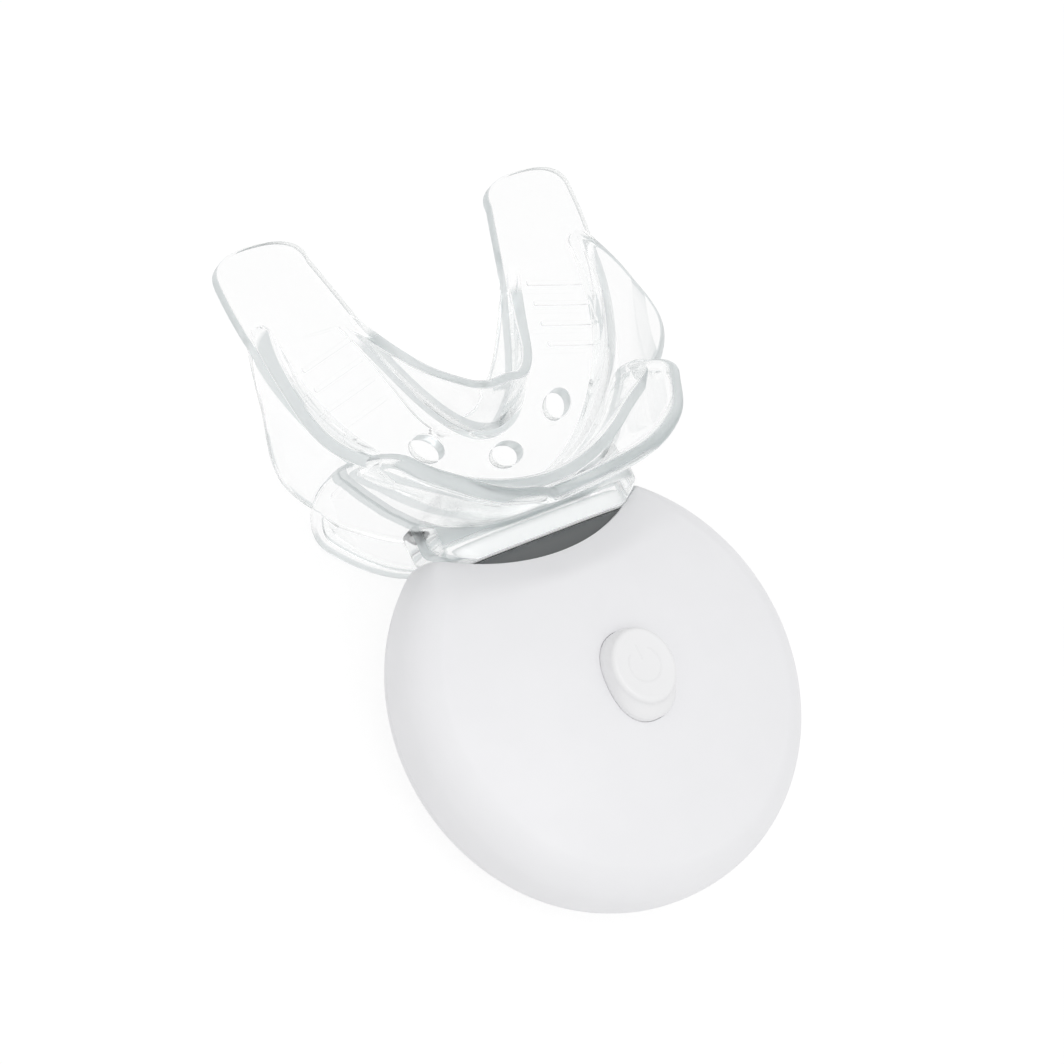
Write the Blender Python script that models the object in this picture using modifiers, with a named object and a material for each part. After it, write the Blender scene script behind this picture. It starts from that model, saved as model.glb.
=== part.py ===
# Mouth tray light: a clear bite tray that plugs onto a round case with LEDs, a button and coin cells.
# Units are metres. The origin is the middle of the case's flat rear face.
# +Z runs up through the button, and +Y from the case towards the tips of the tray.

import math

import bmesh
import bpy
from mathutils import Vector

# Clearances and counts
FIT_GAP = 0.0003
OVERRUN = 0.0010
MERGE_DISTANCE = 0.00001
ROUND_SEGMENTS = 64
SMALL_SEGMENTS = 20

# Case
CASE_RADIUS = 0.0315
EQUATOR_HEIGHT = 0.0075
SPLIT_HEIGHT = 0.0050
SPLIT_INSET = 0.0003
CASE_HEIGHT = 0.0184
DOME_RADIUS = 0.0272
DOME_DROP = 0.0037
SHOULDER_INSET = 0.0012
SHOULDER_HEIGHT = 0.0137
SIDE_INSET = 0.0004
SIDE_HEIGHT = 0.0106
REST_FACE_RADIUS = 0.0205
REAR_CORNER_INSET = 0.0040
CASE_WALL = 0.0016

# Concave cut between the case's horns, where the tray plugs in
CUT_RADIUS = 0.0311
CUT_REACH = 0.0194
RIM_HEIGHT = 0.0148
RIM_ROLL_WIDTH = 0.0060
REAR_RIM_HEIGHT = 0.0030
REAR_ROLL_WIDTH = 0.0040

# Bite tray, in plan from the middle of its front hole
ARCH_FRONT = 0.0355
BITE_HEIGHT = 0.0116
PLATE_THICKNESS = 0.0024
PLATE_STEP = 0.0004
TIP_SPREAD = 0.0230
ARM_WIDTH = 0.0154
ARM_LENGTH = 0.0356
TIP_ROUND = 0.0042
OUTER_FRONT = 0.00775
OUTER_FRONT_HANDLE = 0.0154
OUTER_SIDE_HANDLE = 0.0249
INNER_FRONT = 0.0049
INNER_FRONT_HANDLE = 0.0075
INNER_SIDE_X = 0.0125
INNER_SIDE_Y = 0.0270

# Tray walls, given at stations along the arch from its front to its tip
OUTER_WALL = 0.0022
OUTER_WALL_SHARES = (0.0, 0.3, 0.55, 0.72, 0.88)
UPPER_WALL_HEIGHTS = (0.0080, 0.0076, 0.0068, 0.0038, 0.0)
LOWER_WALL_HEIGHTS = (0.0100, 0.0120, 0.0094, 0.0036, 0.0)
UPPER_WALL_FLARES = (0.0, 0.0014, 0.0058, 0.0028, 0.0)
LOWER_WALL_FLARES = (0.0, 0.0014, 0.0050, 0.0022, 0.0)
OUTER_WALL_TUCKS = (0.0, 0.0, 0.0, 0.0003, 0.0012)
INNER_WALL = 0.0018
INNER_WALL_SHARES = (0.0, 0.2, 0.42, 0.6, 0.76)
INNER_WALL_HEIGHTS = (0.0086, 0.0066, 0.0032, 0.0012, 0.0)
INNER_WALL_LEANS = (0.0046, 0.0032, 0.0012, 0.0004, 0.0)
INNER_WALL_TUCKS = (0.0, 0.0, 0.0, 0.0003, 0.0012)
INNER_LEAN_SIDE_SHARE = 0.35

# Holes and ridges of the bite plate
HOLE_LENGTH = 0.0050
HOLE_WIDTH = 0.0036
SIDE_HOLE_X = 0.0114
SIDE_HOLE_Y = 0.0045
SIDE_HOLE_TURN = math.radians(38)
RIDGE_COUNT = 4
RIDGE_PITCH = 0.0032
RIDGE_DRIFT = 0.0004
RIDGE_START = 0.0120
RIDGE_RADIUS = 0.0004
RIDGE_LENGTH = 0.0094
RIDGE_CENTRE_X = 0.0186
RIDGE_TURN = math.radians(15)

# Lip shield
SHIELD_HALF_WIDTH = 0.0248
SHIELD_FRONT = 0.0083
SHIELD_SWEEP = 0.0136
SHIELD_SWEEP_POWER = 3.5
SHIELD_TILT_SHARE = 0.08
SHIELD_THICKNESS = 0.0020
SHIELD_SHARES = (0.0, 0.35, 0.7, 0.9)
SHIELD_TOPS = (0.0081, 0.0156, 0.0170, 0.0139)
SHIELD_BOTTOMS = (-0.0110, -0.0156, -0.0165, -0.0173)
SHIELD_END_HEIGHT = -0.0060
SHIELD_BEAD_RADIUS = 0.0012

# Socket of the tray and the nose of the case that it plugs over
SOCKET_HALF_WIDTH = 0.0183
SOCKET_HALF_HEIGHT = 0.0056
SOCKET_HEIGHT = 0.0096
SOCKET_WALL = 0.0017
SOCKET_SIDE_WALL = 0.0029
SOCKET_END = 0.0225
SOCKET_DEPTH = 0.0036
NOSE_GAP = 0.0004
NOSE_WALL = 0.0012
NOSE_TIP_GAP = 0.0006
NOSE_FLANGE_THICKNESS = 0.0010
NOSE_FLANGE_LIP = 0.0012

# Light source
LED_COUNT = 5
LED_PITCH = 0.0055
LED_WIDTH = 0.0028
LED_HEIGHT = 0.0035
LED_THICKNESS = 0.0012
LED_BOARD_WIDTH = 0.0270
LED_BOARD_HEIGHT = 0.0054
LED_BOARD_THICKNESS = 0.0008

# Main board and what it carries
BOARD_RADIUS = 0.0204
BOARD_THICKNESS = 0.0010
HEADER_WIDTH = 0.0100
HEADER_DEPTH = 0.0025
HEADER_HEIGHT = 0.0025
SWITCH_WIDTH = 0.0060
SWITCH_HEIGHT = 0.0031
SWITCH_BORE_RADIUS = 0.0020
SWITCH_FLOOR = 0.0004
PLUNGER_RADIUS = 0.0017
PLUNGER_HEIGHT = 0.0022
SNAP_DOME_HEIGHT = 0.0006
SNAP_DOME_THICKNESS = 0.0002
CHIP_LENGTH = 0.0050
CHIP_WIDTH = 0.0040
CHIP_HEIGHT = 0.0015
CHIP_X = 0.0105
CHIP_Y = 0.0040
CAPACITOR_RADIUS = 0.0020
CAPACITOR_HEIGHT = 0.0035
CAPACITOR_X = 0.0100
CAPACITOR_Y = 0.0065
RESISTOR_LENGTH = 0.0032
RESISTOR_WIDTH = 0.0016
RESISTOR_HEIGHT = 0.0006
RESISTOR_X = 0.0095
RESISTOR_PITCH = 0.0040

# Button
BUTTON_Y = -0.0010
BUTTON_HALF_WIDTH = 0.0050
BUTTON_HALF_LENGTH = 0.0066
BUTTON_TOP_HALF_WIDTH = 0.0047
BUTTON_TOP_HALF_LENGTH = 0.0049
BUTTON_STAND = 0.0031
BUTTON_EDGE_ROUND = 0.0007
BUTTON_TRAVEL = 0.0005
BUTTON_FLANGE_LIP = 0.0011
BUTTON_FLANGE_THICKNESS = 0.0010

# Battery bay
CELL_RADIUS = 0.0100
CELL_HEIGHT = 0.0032
CELL_EDGE = 0.0003
CONTACT_THICKNESS = 0.0003
CONTACT_WIDTH = 0.0040
CONTACT_LENGTH = 0.0120
WELL_RADIUS = 0.0112
WELL_WALL = 0.0016
DOOR_RADIUS = 0.0123
DOOR_THICKNESS = 0.0012
DOOR_NOTCH_RADIUS = 0.0016
SEAL_WIRE_RADIUS = 0.0004
SEAL_SQUEEZE = 0.0001

# Case screws
SCREW_COUNT = 4
SCREW_ORBIT = 0.0235
SCREW_ANGLES = (math.radians(20), math.radians(160), math.radians(245), math.radians(295))
SCREW_SHANK_RADIUS = 0.0008
SCREW_HEAD_RADIUS = 0.0016
SCREW_HEAD_HEIGHT = 0.0011
SCREW_LENGTH = 0.0080
SCREW_SLOT_WIDTH = 0.0005
SCREW_SEAT_HEIGHT = 0.0024
BOSS_RADIUS = 0.0026

# Places that follow from the sizes above
CUT_CENTRE = CUT_REACH + CUT_RADIUS
REAR_TOP = SPLIT_HEIGHT - FIT_GAP / 2
FRONT_BOTTOM = SPLIT_HEIGHT + FIT_GAP / 2
NOSE_HALF_WIDTH = SOCKET_HALF_WIDTH - SOCKET_SIDE_WALL - NOSE_GAP
NOSE_HALF_HEIGHT = SOCKET_HALF_HEIGHT - SOCKET_WALL - NOSE_GAP
SOCKET_FLOOR = SOCKET_END + SOCKET_DEPTH
NOSE_TIP = SOCKET_FLOOR - NOSE_TIP_GAP
NOSE_FLANGE_FRONT = CUT_REACH - CASE_WALL - FIT_GAP
NOSE_FLANGE_BACK = NOSE_FLANGE_FRONT - NOSE_FLANGE_THICKNESS
REFLECTOR_FRONT = NOSE_FLANGE_BACK - FIT_GAP
LED_BOARD_FRONT = REFLECTOR_FRONT - LED_THICKNESS - FIT_GAP
LED_BOARD_BACK = LED_BOARD_FRONT - LED_BOARD_THICKNESS
SEAT_HEIGHT = DOOR_THICKNESS + 2 * SEAL_WIRE_RADIUS + 2 * SEAL_SQUEEZE
CELL_BASES = (SEAT_HEIGHT, SEAT_HEIGHT + CELL_HEIGHT + FIT_GAP)
CONTACT_BASE = CELL_BASES[1] + CELL_HEIGHT + FIT_GAP
BOARD_BASE = CONTACT_BASE + CONTACT_THICKNESS + FIT_GAP
BOARD_TOP = BOARD_BASE + BOARD_THICKNESS
BOARD_FRONT = LED_BOARD_BACK - 2 * FIT_GAP
PARTS_BASE = BOARD_TOP + FIT_GAP
WELL_TOP = BOARD_BASE - FIT_GAP
DOME_EDGE_HEIGHT = CASE_HEIGHT - DOME_DROP
PLATE_ROOT = PLATE_THICKNESS / 2 - FIT_GAP / 2


def make_collection(name):
    group = bpy.data.collections.new(name)
    bpy.context.scene.collection.children.link(group)
    return group


def make_material(name, colour, roughness, metallic=0.0, alpha=1.0):
    surface = bpy.data.materials.new(name)
    surface.use_nodes = True
    shader = surface.node_tree.nodes["Principled BSDF"]
    shader.inputs["Base Color"].default_value = (*colour, 1.0)
    shader.inputs["Roughness"].default_value = roughness
    shader.inputs["Metallic"].default_value = metallic
    shader.inputs["Alpha"].default_value = alpha
    surface.diffuse_color = (*colour, alpha)
    return surface


def new_object(name, mesh, group, surface=None):
    thing = bpy.data.objects.new(name, mesh)
    group.objects.link(thing)
    if surface:
        mesh.materials.append(surface)
    return thing


def object_from_bmesh(name, shape, group, surface=None):
    mesh = bpy.data.meshes.new(name)
    shape.to_mesh(mesh)
    shape.free()
    return new_object(name, mesh, group, surface)


def as_cutter(thing):
    thing.hide_render = True
    thing.display_type = "WIRE"
    return thing


def combine(target, operation, *others):
    """Adds a Boolean modifier to the target for each of the other objects."""
    for other in others:
        modifier = target.modifiers.new(operation.title(), "BOOLEAN")
        modifier.operation = operation
        modifier.object = other
        modifier.solver = "EXACT"


def shade_round(thing, angle=math.radians(35)):
    thing.data.shade_smooth()
    thing.data.set_sharp_from_angle(angle=angle)


def set_origin(thing, point):
    """Moves an object's origin to a point and leaves its shape where it is."""
    shift = Vector(point)
    for vertex in thing.data.vertices:
        vertex.co -= shift
    thing.location = shift


def bezier(points, count):
    """Points along a Bezier curve of any degree, both ends included."""
    degree = len(points) - 1
    result = []
    for step in range(count + 1):
        t = step / count
        total = Vector((0, 0))
        for index, point in enumerate(points):
            weight = math.comb(degree, index) * (1 - t) ** (degree - index) * t ** index
            total += weight * Vector(point)
        result.append(total)
    return result


def smooth_value(shares, values, share):
    """Reads a table of values at a share, easing smoothly from each station to the next."""
    if share <= shares[0]:
        return values[0]
    for index in range(len(shares) - 1):
        if share <= shares[index + 1]:
            t = (share - shares[index]) / (shares[index + 1] - shares[index])
            ease = t * t * (3 - 2 * t)
            blend = (t + ease) / 2
            return values[index] + (values[index + 1] - values[index]) * blend
    return values[-1]


def turned(name, profile, group, surface=None, centre=(0, 0), segments=ROUND_SEGMENTS, closed=False):
    """A turned solid: the profile is radius and height, listed from top to bottom on its outer side."""
    shape = bmesh.new()
    corners = [shape.verts.new((radius, 0, height)) for radius, height in profile]
    for first, second in zip(corners, corners[1:]):
        shape.edges.new((first, second))
    if closed:
        shape.edges.new((corners[-1], corners[0]))
    thing = object_from_bmesh(name, shape, group, surface)
    thing.location = (*centre, 0)
    screw = thing.modifiers.new("Turn", "SCREW")
    screw.axis = "Z"
    screw.steps = segments
    screw.render_steps = segments
    screw.use_merge_vertices = True
    screw.merge_threshold = MERGE_DISTANCE
    return thing


def bake(thing):
    """Replaces an object by the mesh that its modifiers give, in world space."""
    graph = bpy.context.evaluated_depsgraph_get()
    mesh = bpy.data.meshes.new_from_object(thing.evaluated_get(graph), depsgraph=graph)
    mesh.transform(thing.matrix_world)
    shape = bmesh.new()
    shape.from_mesh(mesh)
    bmesh.ops.remove_doubles(shape, verts=shape.verts, dist=MERGE_DISTANCE)
    shape.to_mesh(mesh)
    shape.free()
    name = thing.name
    group = thing.users_collection[0]
    bpy.data.objects.remove(thing)
    return new_object(name, mesh, group)


def box(name, low, high, group, surface=None, edge=0.0):
    shape = bmesh.new()
    bmesh.ops.create_cube(shape, size=1.0)
    for vertex in shape.verts:
        vertex.co = [low[i] + (vertex.co[i] + 0.5) * (high[i] - low[i]) for i in range(3)]
    if edge:
        bmesh.ops.bevel(shape, geom=shape.edges, offset=edge, segments=2, profile=0.5, affect="EDGES")
    return object_from_bmesh(name, shape, group, surface)


def cylinder(name, centre, radius, low, high, group, surface=None, segments=SMALL_SEGMENTS):
    shape = bmesh.new()
    bmesh.ops.create_cone(shape, cap_ends=True, segments=segments, radius1=radius, radius2=radius,
                          depth=high - low)
    bmesh.ops.translate(shape, verts=shape.verts, vec=(centre[0], centre[1], (low + high) / 2))
    return object_from_bmesh(name, shape, group, surface)


def slab(name, outline, middle, thickness, group):
    """A flat plate from a closed outline, made from a filled 2D curve and kept as a mesh."""
    data = bpy.data.curves.new(name, "CURVE")
    data.dimensions = "2D"
    data.fill_mode = "BOTH"
    data.extrude = thickness / 2
    spline = data.splines.new("POLY")
    spline.points.add(len(outline) - 1)
    for point, place in zip(spline.points, outline):
        point.co = (place[0], place[1], 0, 1)
    spline.use_cyclic_u = True
    thing = bpy.data.objects.new(name, data)
    group.objects.link(thing)
    thing.location = (0, 0, middle)
    bpy.context.view_layer.update()
    return bake(thing)


def sheet(name, columns, rows, place, thickness, group):
    """A curved wall: a grid whose points are placed by a function of two numbers from -1 to 1."""
    shape = bmesh.new()
    bmesh.ops.create_grid(shape, x_segments=columns, y_segments=rows, size=1.0)
    for vertex in shape.verts:
        vertex.co = place(vertex.co.x, vertex.co.y)
    thing = object_from_bmesh(name, shape, group)
    solid = thing.modifiers.new("Thickness", "SOLIDIFY")
    solid.thickness = thickness
    solid.offset = 0
    solid.use_even_offset = True
    return bake(thing)


def oval_ring(half_width, half_height, power, count):
    """A rounded rectangle as a superellipse, from a formula."""
    ring = []
    for index in range(count):
        turn = 2 * math.pi * index / count
        cos, sin = math.cos(turn), math.sin(turn)
        ring.append((math.copysign(abs(cos) ** (2 / power), cos) * half_width,
                     math.copysign(abs(sin) ** (2 / power), sin) * half_height))
    return ring


def cap_ring(shape, loop):
    """Closes a ring whose second half mirrors its first, with strips from side to side."""
    count = len(loop)
    for index in range(count // 2):
        strip = [loop[index], loop[index + 1], loop[count - index - 1], loop[(count - index) % count]]
        shape.faces.new(dict.fromkeys(strip))


def loft(name, rings, group, surface=None):
    """A solid between closed rings of equal point counts, listed in order, with its ends capped."""
    shape = bmesh.new()
    loops = [[shape.verts.new(point) for point in ring] for ring in rings]
    count = len(loops[0])
    for first, second in zip(loops, loops[1:]):
        for index in range(count):
            after = (index + 1) % count
            shape.faces.new((first[index], first[after], second[after], second[index]))
    cap_ring(shape, loops[0])
    cap_ring(shape, loops[-1])
    bmesh.ops.recalc_face_normals(shape, faces=shape.faces)
    return object_from_bmesh(name, shape, group, surface)


# Case outlines, as radius and height

def dome_height(radius):
    return CASE_HEIGHT - DOME_DROP * (radius / DOME_RADIUS) ** 2


def front_profile(inset):
    """Outer side of the front shell, from its top to its split, moved inward by an inset."""
    dome_steps = 6
    dome = [(DOME_RADIUS * i / dome_steps, dome_height(DOME_RADIUS * i / dome_steps) - inset)
            for i in range(dome_steps)]
    shoulder = bezier([(DOME_RADIUS - inset / 2, DOME_EDGE_HEIGHT - inset),
                       (CASE_RADIUS - SHOULDER_INSET - inset, SHOULDER_HEIGHT - inset),
                       (CASE_RADIUS - SIDE_INSET - inset, SIDE_HEIGHT - inset)], 4)
    side = bezier([(CASE_RADIUS - SIDE_INSET - inset, SIDE_HEIGHT - inset),
                   (CASE_RADIUS - inset, (SIDE_HEIGHT + EQUATOR_HEIGHT) / 2),
                   (CASE_RADIUS - inset, EQUATOR_HEIGHT)], 2)
    return dome + [tuple(p) for p in shoulder] + [tuple(p) for p in side[1:]]


def rear_profile(inset):
    """Outer side of the rear shell, from its split down to the edge of the flat rest face."""
    curve = bezier([(CASE_RADIUS - SPLIT_INSET - inset, REAR_TOP),
                    (CASE_RADIUS - SPLIT_INSET - inset, (REAR_TOP + inset) / 3),
                    (CASE_RADIUS - REAR_CORNER_INSET - inset, inset),
                    (REST_FACE_RADIUS, inset)], 7)
    return [tuple(p) for p in curve]


def cut_profile(grow):
    """Section of the concave cut, flared at both rims where the case's edge rolls over."""
    steps = 5
    roll_height = dome_height(CUT_REACH - RIM_ROLL_WIDTH) - RIM_HEIGHT
    radius = CUT_RADIUS + grow
    upper = []
    for index in range(steps + 1):
        turn = math.pi / 2 * (1 - index / steps)
        upper.append((radius + RIM_ROLL_WIDTH * (1 - math.cos(turn)),
                      RIM_HEIGHT - grow + roll_height * math.sin(turn)))
    lower = []
    for index in range(steps + 1):
        turn = math.pi / 2 * index / steps
        lower.append((radius + REAR_ROLL_WIDTH * (1 - math.cos(turn)),
                      REAR_RIM_HEIGHT + grow - REAR_RIM_HEIGHT * math.sin(turn)))
    top = (upper[0][0], CASE_HEIGHT + OVERRUN)
    bottom = (lower[-1][0], -OVERRUN)
    return [(0, top[1]), top] + upper + lower + [bottom, (0, bottom[1])]


def make_front_shell(parts, cutters, surface):
    """Domed half of the case: outer form, cut, hollow, button hole, nose slot and screw bosses."""
    outer = front_profile(0) + [(CASE_RADIUS - SPLIT_INSET / 3, FRONT_BOTTOM), (0, FRONT_BOTTOM)]
    shell = turned("front_shell", outer, parts, surface)
    cut = as_cutter(turned("front_cut", cut_profile(0), cutters, centre=(0, CUT_CENTRE)))
    hollow = front_profile(CASE_WALL)
    hollow += [(CASE_RADIUS - CASE_WALL, FRONT_BOTTOM - OVERRUN), (0, FRONT_BOTTOM - OVERRUN)]
    cavity = as_cutter(turned("front_hollow", hollow, cutters))
    keep = as_cutter(turned("front_cut_wall", cut_profile(CASE_WALL), cutters, centre=(0, CUT_CENTRE)))
    combine(cavity, "DIFFERENCE", keep)
    boss_top = dome_height(SCREW_ORBIT) - CASE_WALL / 2
    bosses = screw_columns("front_bosses", BOSS_RADIUS, FRONT_BOTTOM, boss_top, cutters)
    pilots = screw_columns("front_pilots", SCREW_SHANK_RADIUS + FIT_GAP, FRONT_BOTTOM - OVERRUN,
                           SCREW_SEAT_HEIGHT + SCREW_LENGTH + FIT_GAP, cutters)
    ring = oval_ring(BUTTON_HALF_WIDTH + FIT_GAP, BUTTON_HALF_LENGTH + FIT_GAP, 2.3, 32)
    hole = loft("button_hole", [[(x, BUTTON_Y + y, SIDE_HEIGHT) for x, y in ring],
                                [(x, BUTTON_Y + y, CASE_HEIGHT + OVERRUN) for x, y in ring]], cutters)
    slot = nose_prism("nose_slot", FIT_GAP, NOSE_FLANGE_FRONT - RIM_ROLL_WIDTH, NOSE_TIP + OVERRUN, cutters)
    combine(shell, "DIFFERENCE", cut, cavity)
    combine(shell, "UNION", bosses)
    combine(shell, "DIFFERENCE", pilots, as_cutter(hole), as_cutter(slot))
    return shell


def make_rear_shell(parts, cutters, surface):
    """Rear half of the case: flat rest face, battery well, screw bosses and counterbores."""
    outer = [(0, WELL_TOP), (WELL_RADIUS + WELL_WALL, WELL_TOP), (WELL_RADIUS + WELL_WALL, REAR_TOP)]
    outer += rear_profile(0) + [(0, 0)]
    shell = turned("rear_shell", outer, parts, surface)
    cut = as_cutter(turned("rear_cut", cut_profile(0), cutters, centre=(0, CUT_CENTRE)))
    inner = rear_profile(CASE_WALL)
    hollow = [(WELL_RADIUS + WELL_WALL, REAR_TOP + OVERRUN), (inner[0][0], REAR_TOP + OVERRUN)]
    hollow += inner + [(WELL_RADIUS + WELL_WALL, CASE_WALL)]
    cavity = as_cutter(turned("rear_hollow", hollow, cutters, closed=True))
    keep = as_cutter(turned("rear_cut_wall", cut_profile(CASE_WALL), cutters, centre=(0, CUT_CENTRE)))
    combine(cavity, "DIFFERENCE", keep)
    bore = [(0, WELL_TOP + OVERRUN), (WELL_RADIUS, WELL_TOP + OVERRUN), (WELL_RADIUS, SEAT_HEIGHT),
            (DOOR_RADIUS + FIT_GAP, SEAT_HEIGHT), (DOOR_RADIUS + FIT_GAP, -OVERRUN), (0, -OVERRUN)]
    well = as_cutter(turned("well_bore", bore, cutters))
    bosses = screw_columns("rear_bosses", BOSS_RADIUS, CASE_WALL / 2, REAR_TOP, cutters)
    holes = screw_columns("rear_holes", SCREW_SHANK_RADIUS + FIT_GAP, -OVERRUN, REAR_TOP + OVERRUN, cutters)
    recesses = screw_columns("rear_recesses", SCREW_HEAD_RADIUS + FIT_GAP, -OVERRUN, SCREW_SEAT_HEIGHT, cutters)
    notch = cylinder("door_notch", (0, -DOOR_RADIUS - FIT_GAP), DOOR_NOTCH_RADIUS, -OVERRUN,
                     DOOR_THICKNESS / 2, cutters)
    combine(shell, "DIFFERENCE", cut, cavity)
    combine(shell, "UNION", bosses)
    combine(shell, "DIFFERENCE", well, holes, recesses, as_cutter(notch))
    return shell


def screw_columns(name, radius, low, high, cutters):
    """One column at each case screw, joined in a single helper object."""
    shape = bmesh.new()
    for angle in SCREW_ANGLES[:SCREW_COUNT]:
        made = bmesh.ops.create_cone(shape, cap_ends=True, segments=SMALL_SEGMENTS, radius1=radius,
                                     radius2=radius, depth=high - low)
        middle = (SCREW_ORBIT * math.cos(angle), SCREW_ORBIT * math.sin(angle), (low + high) / 2)
        bmesh.ops.translate(shape, verts=made["verts"], vec=middle)
    return as_cutter(object_from_bmesh(name, shape, cutters))


def nose_prism(name, grow, back, front, group, surface=None):
    """The nose's rounded section, grown by a clearance, run between two places along the tray."""
    ring = oval_ring(NOSE_HALF_WIDTH + grow, NOSE_HALF_HEIGHT + grow, 4.0, 32)
    return loft(name, [[(x, back, SOCKET_HEIGHT + z) for x, z in ring],
                       [(x, front, SOCKET_HEIGHT + z) for x, z in ring]], group, surface)


def make_light_window(parts, cutters, surface):
    """Smoked nose: a hollow rounded box with a flange that seats behind the cut wall."""
    window = nose_prism("light_window", 0, NOSE_FLANGE_BACK, NOSE_TIP, parts, surface)
    lip = NOSE_HALF_WIDTH + NOSE_FLANGE_LIP
    low = SOCKET_HEIGHT - NOSE_HALF_HEIGHT - NOSE_FLANGE_LIP
    high = SOCKET_HEIGHT + NOSE_HALF_HEIGHT + NOSE_FLANGE_LIP / 4
    flange = box("nose_flange", (-lip, NOSE_FLANGE_BACK, low), (lip, NOSE_FLANGE_FRONT, high), cutters)
    hollow = nose_prism("nose_hollow", -NOSE_WALL, NOSE_FLANGE_BACK - OVERRUN, NOSE_TIP - NOSE_WALL, cutters)
    combine(window, "UNION", as_cutter(flange))
    combine(window, "DIFFERENCE", as_cutter(hollow))
    return window


def make_light_source(parts, cutters, board_surface, led_surface, reflector_surface):
    """LED board, its LEDs and the reflector frame round them, behind the nose's flange."""
    low = SOCKET_HEIGHT - LED_BOARD_HEIGHT / 2
    high = SOCKET_HEIGHT + LED_BOARD_HEIGHT / 2
    half = LED_BOARD_WIDTH / 2
    box("led_board", (-half, LED_BOARD_BACK, low), (half, LED_BOARD_FRONT, high), parts, board_surface)
    frame = box("led_reflector", (-half, LED_BOARD_FRONT + FIT_GAP, low), (half, REFLECTOR_FRONT, high),
                parts, reflector_surface)
    for index in range(LED_COUNT):
        middle = (index - (LED_COUNT - 1) / 2) * LED_PITCH
        led_low = (middle - LED_WIDTH / 2, LED_BOARD_FRONT + FIT_GAP, SOCKET_HEIGHT - LED_HEIGHT / 2)
        led_high = (middle + LED_WIDTH / 2, REFLECTOR_FRONT, SOCKET_HEIGHT + LED_HEIGHT / 2)
        box(f"led_{index + 1}", led_low, led_high, parts, led_surface, edge=LED_THICKNESS / 8)
        opening_low = (led_low[0] - FIT_GAP, LED_BOARD_FRONT, led_low[2] - FIT_GAP)
        opening_high = (led_high[0] + FIT_GAP, REFLECTOR_FRONT + OVERRUN, led_high[2] + FIT_GAP)
        combine(frame, "DIFFERENCE", as_cutter(box(f"led_opening_{index + 1}", opening_low, opening_high, cutters)))


def make_main_board(parts, cutters, board_surface, chip_surface, metal_surface):
    """Round board with a straight front edge, and the small parts on it."""
    board = cylinder("main_board", (0, 0), BOARD_RADIUS, BOARD_BASE, BOARD_TOP, parts, board_surface, 48)
    trim = box("board_trim", (-BOARD_RADIUS, BOARD_FRONT, BOARD_BASE - OVERRUN),
               (BOARD_RADIUS, BOARD_RADIUS + OVERRUN, BOARD_TOP + OVERRUN), cutters)
    combine(board, "DIFFERENCE", as_cutter(trim))
    half = HEADER_WIDTH / 2
    box("led_header", (-half, LED_BOARD_BACK - FIT_GAP - HEADER_DEPTH, PARTS_BASE),
        (half, LED_BOARD_BACK - FIT_GAP, PARTS_BASE + HEADER_HEIGHT), parts, chip_surface, FIT_GAP / 2)
    box("control_chip", (CHIP_X - CHIP_LENGTH / 2, CHIP_Y - CHIP_WIDTH / 2, PARTS_BASE),
        (CHIP_X + CHIP_LENGTH / 2, CHIP_Y + CHIP_WIDTH / 2, PARTS_BASE + CHIP_HEIGHT), parts, chip_surface,
        FIT_GAP / 2)
    cylinder("capacitor", (-CAPACITOR_X, CAPACITOR_Y), CAPACITOR_RADIUS, PARTS_BASE,
             PARTS_BASE + CAPACITOR_HEIGHT, parts, metal_surface)
    for index in range(2):
        y = -RESISTOR_PITCH * (index + 1)
        box(f"resistor_{index + 1}", (RESISTOR_X, y - RESISTOR_WIDTH / 2, PARTS_BASE),
            (RESISTOR_X + RESISTOR_LENGTH, y + RESISTOR_WIDTH / 2, PARTS_BASE + RESISTOR_HEIGHT), parts,
            chip_surface)


def make_switch(parts, cutters, chip_surface, metal_surface, plunger_surface):
    """Push switch: a square body with a bored well, a snap dome in it and the plunger on top."""
    half = SWITCH_WIDTH / 2
    centre = (0, BUTTON_Y)
    body = box("switch_body", (-half, BUTTON_Y - half, PARTS_BASE),
               (half, BUTTON_Y + half, PARTS_BASE + SWITCH_HEIGHT), parts, chip_surface)
    floor = PARTS_BASE + SWITCH_FLOOR
    bore = cylinder("switch_bore", centre, SWITCH_BORE_RADIUS, floor, PARTS_BASE + SWITCH_HEIGHT + OVERRUN,
                    cutters)
    combine(body, "DIFFERENCE", as_cutter(bore))
    dome_base = floor + FIT_GAP / 2
    steps = 5
    rim = SWITCH_BORE_RADIUS - FIT_GAP / 2
    outer = [(rim * math.sin(math.pi / 2 * i / steps),
              dome_base + SNAP_DOME_THICKNESS + SNAP_DOME_HEIGHT * math.cos(math.pi / 2 * i / steps))
             for i in range(steps + 1)]
    inner = [((rim - SNAP_DOME_THICKNESS) * math.sin(math.pi / 2 * i / steps),
              dome_base + SNAP_DOME_HEIGHT * math.cos(math.pi / 2 * i / steps)) for i in range(steps + 1)]
    turned("snap_dome", outer + [(rim, dome_base)] + inner[::-1], parts, metal_surface, centre, SMALL_SEGMENTS)
    plunger_top = button_flange_base() - FIT_GAP
    cylinder("switch_plunger", centre, PLUNGER_RADIUS, plunger_top - PLUNGER_HEIGHT, plunger_top, parts,
             plunger_surface)


def button_flange_base():
    """Underside of the button's flange, which bears on the switch plunger."""
    lip_radius = BUTTON_HALF_LENGTH + BUTTON_FLANGE_LIP - BUTTON_Y
    return dome_height(lip_radius) - CASE_WALL - FIT_GAP - BUTTON_FLANGE_THICKNESS


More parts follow.
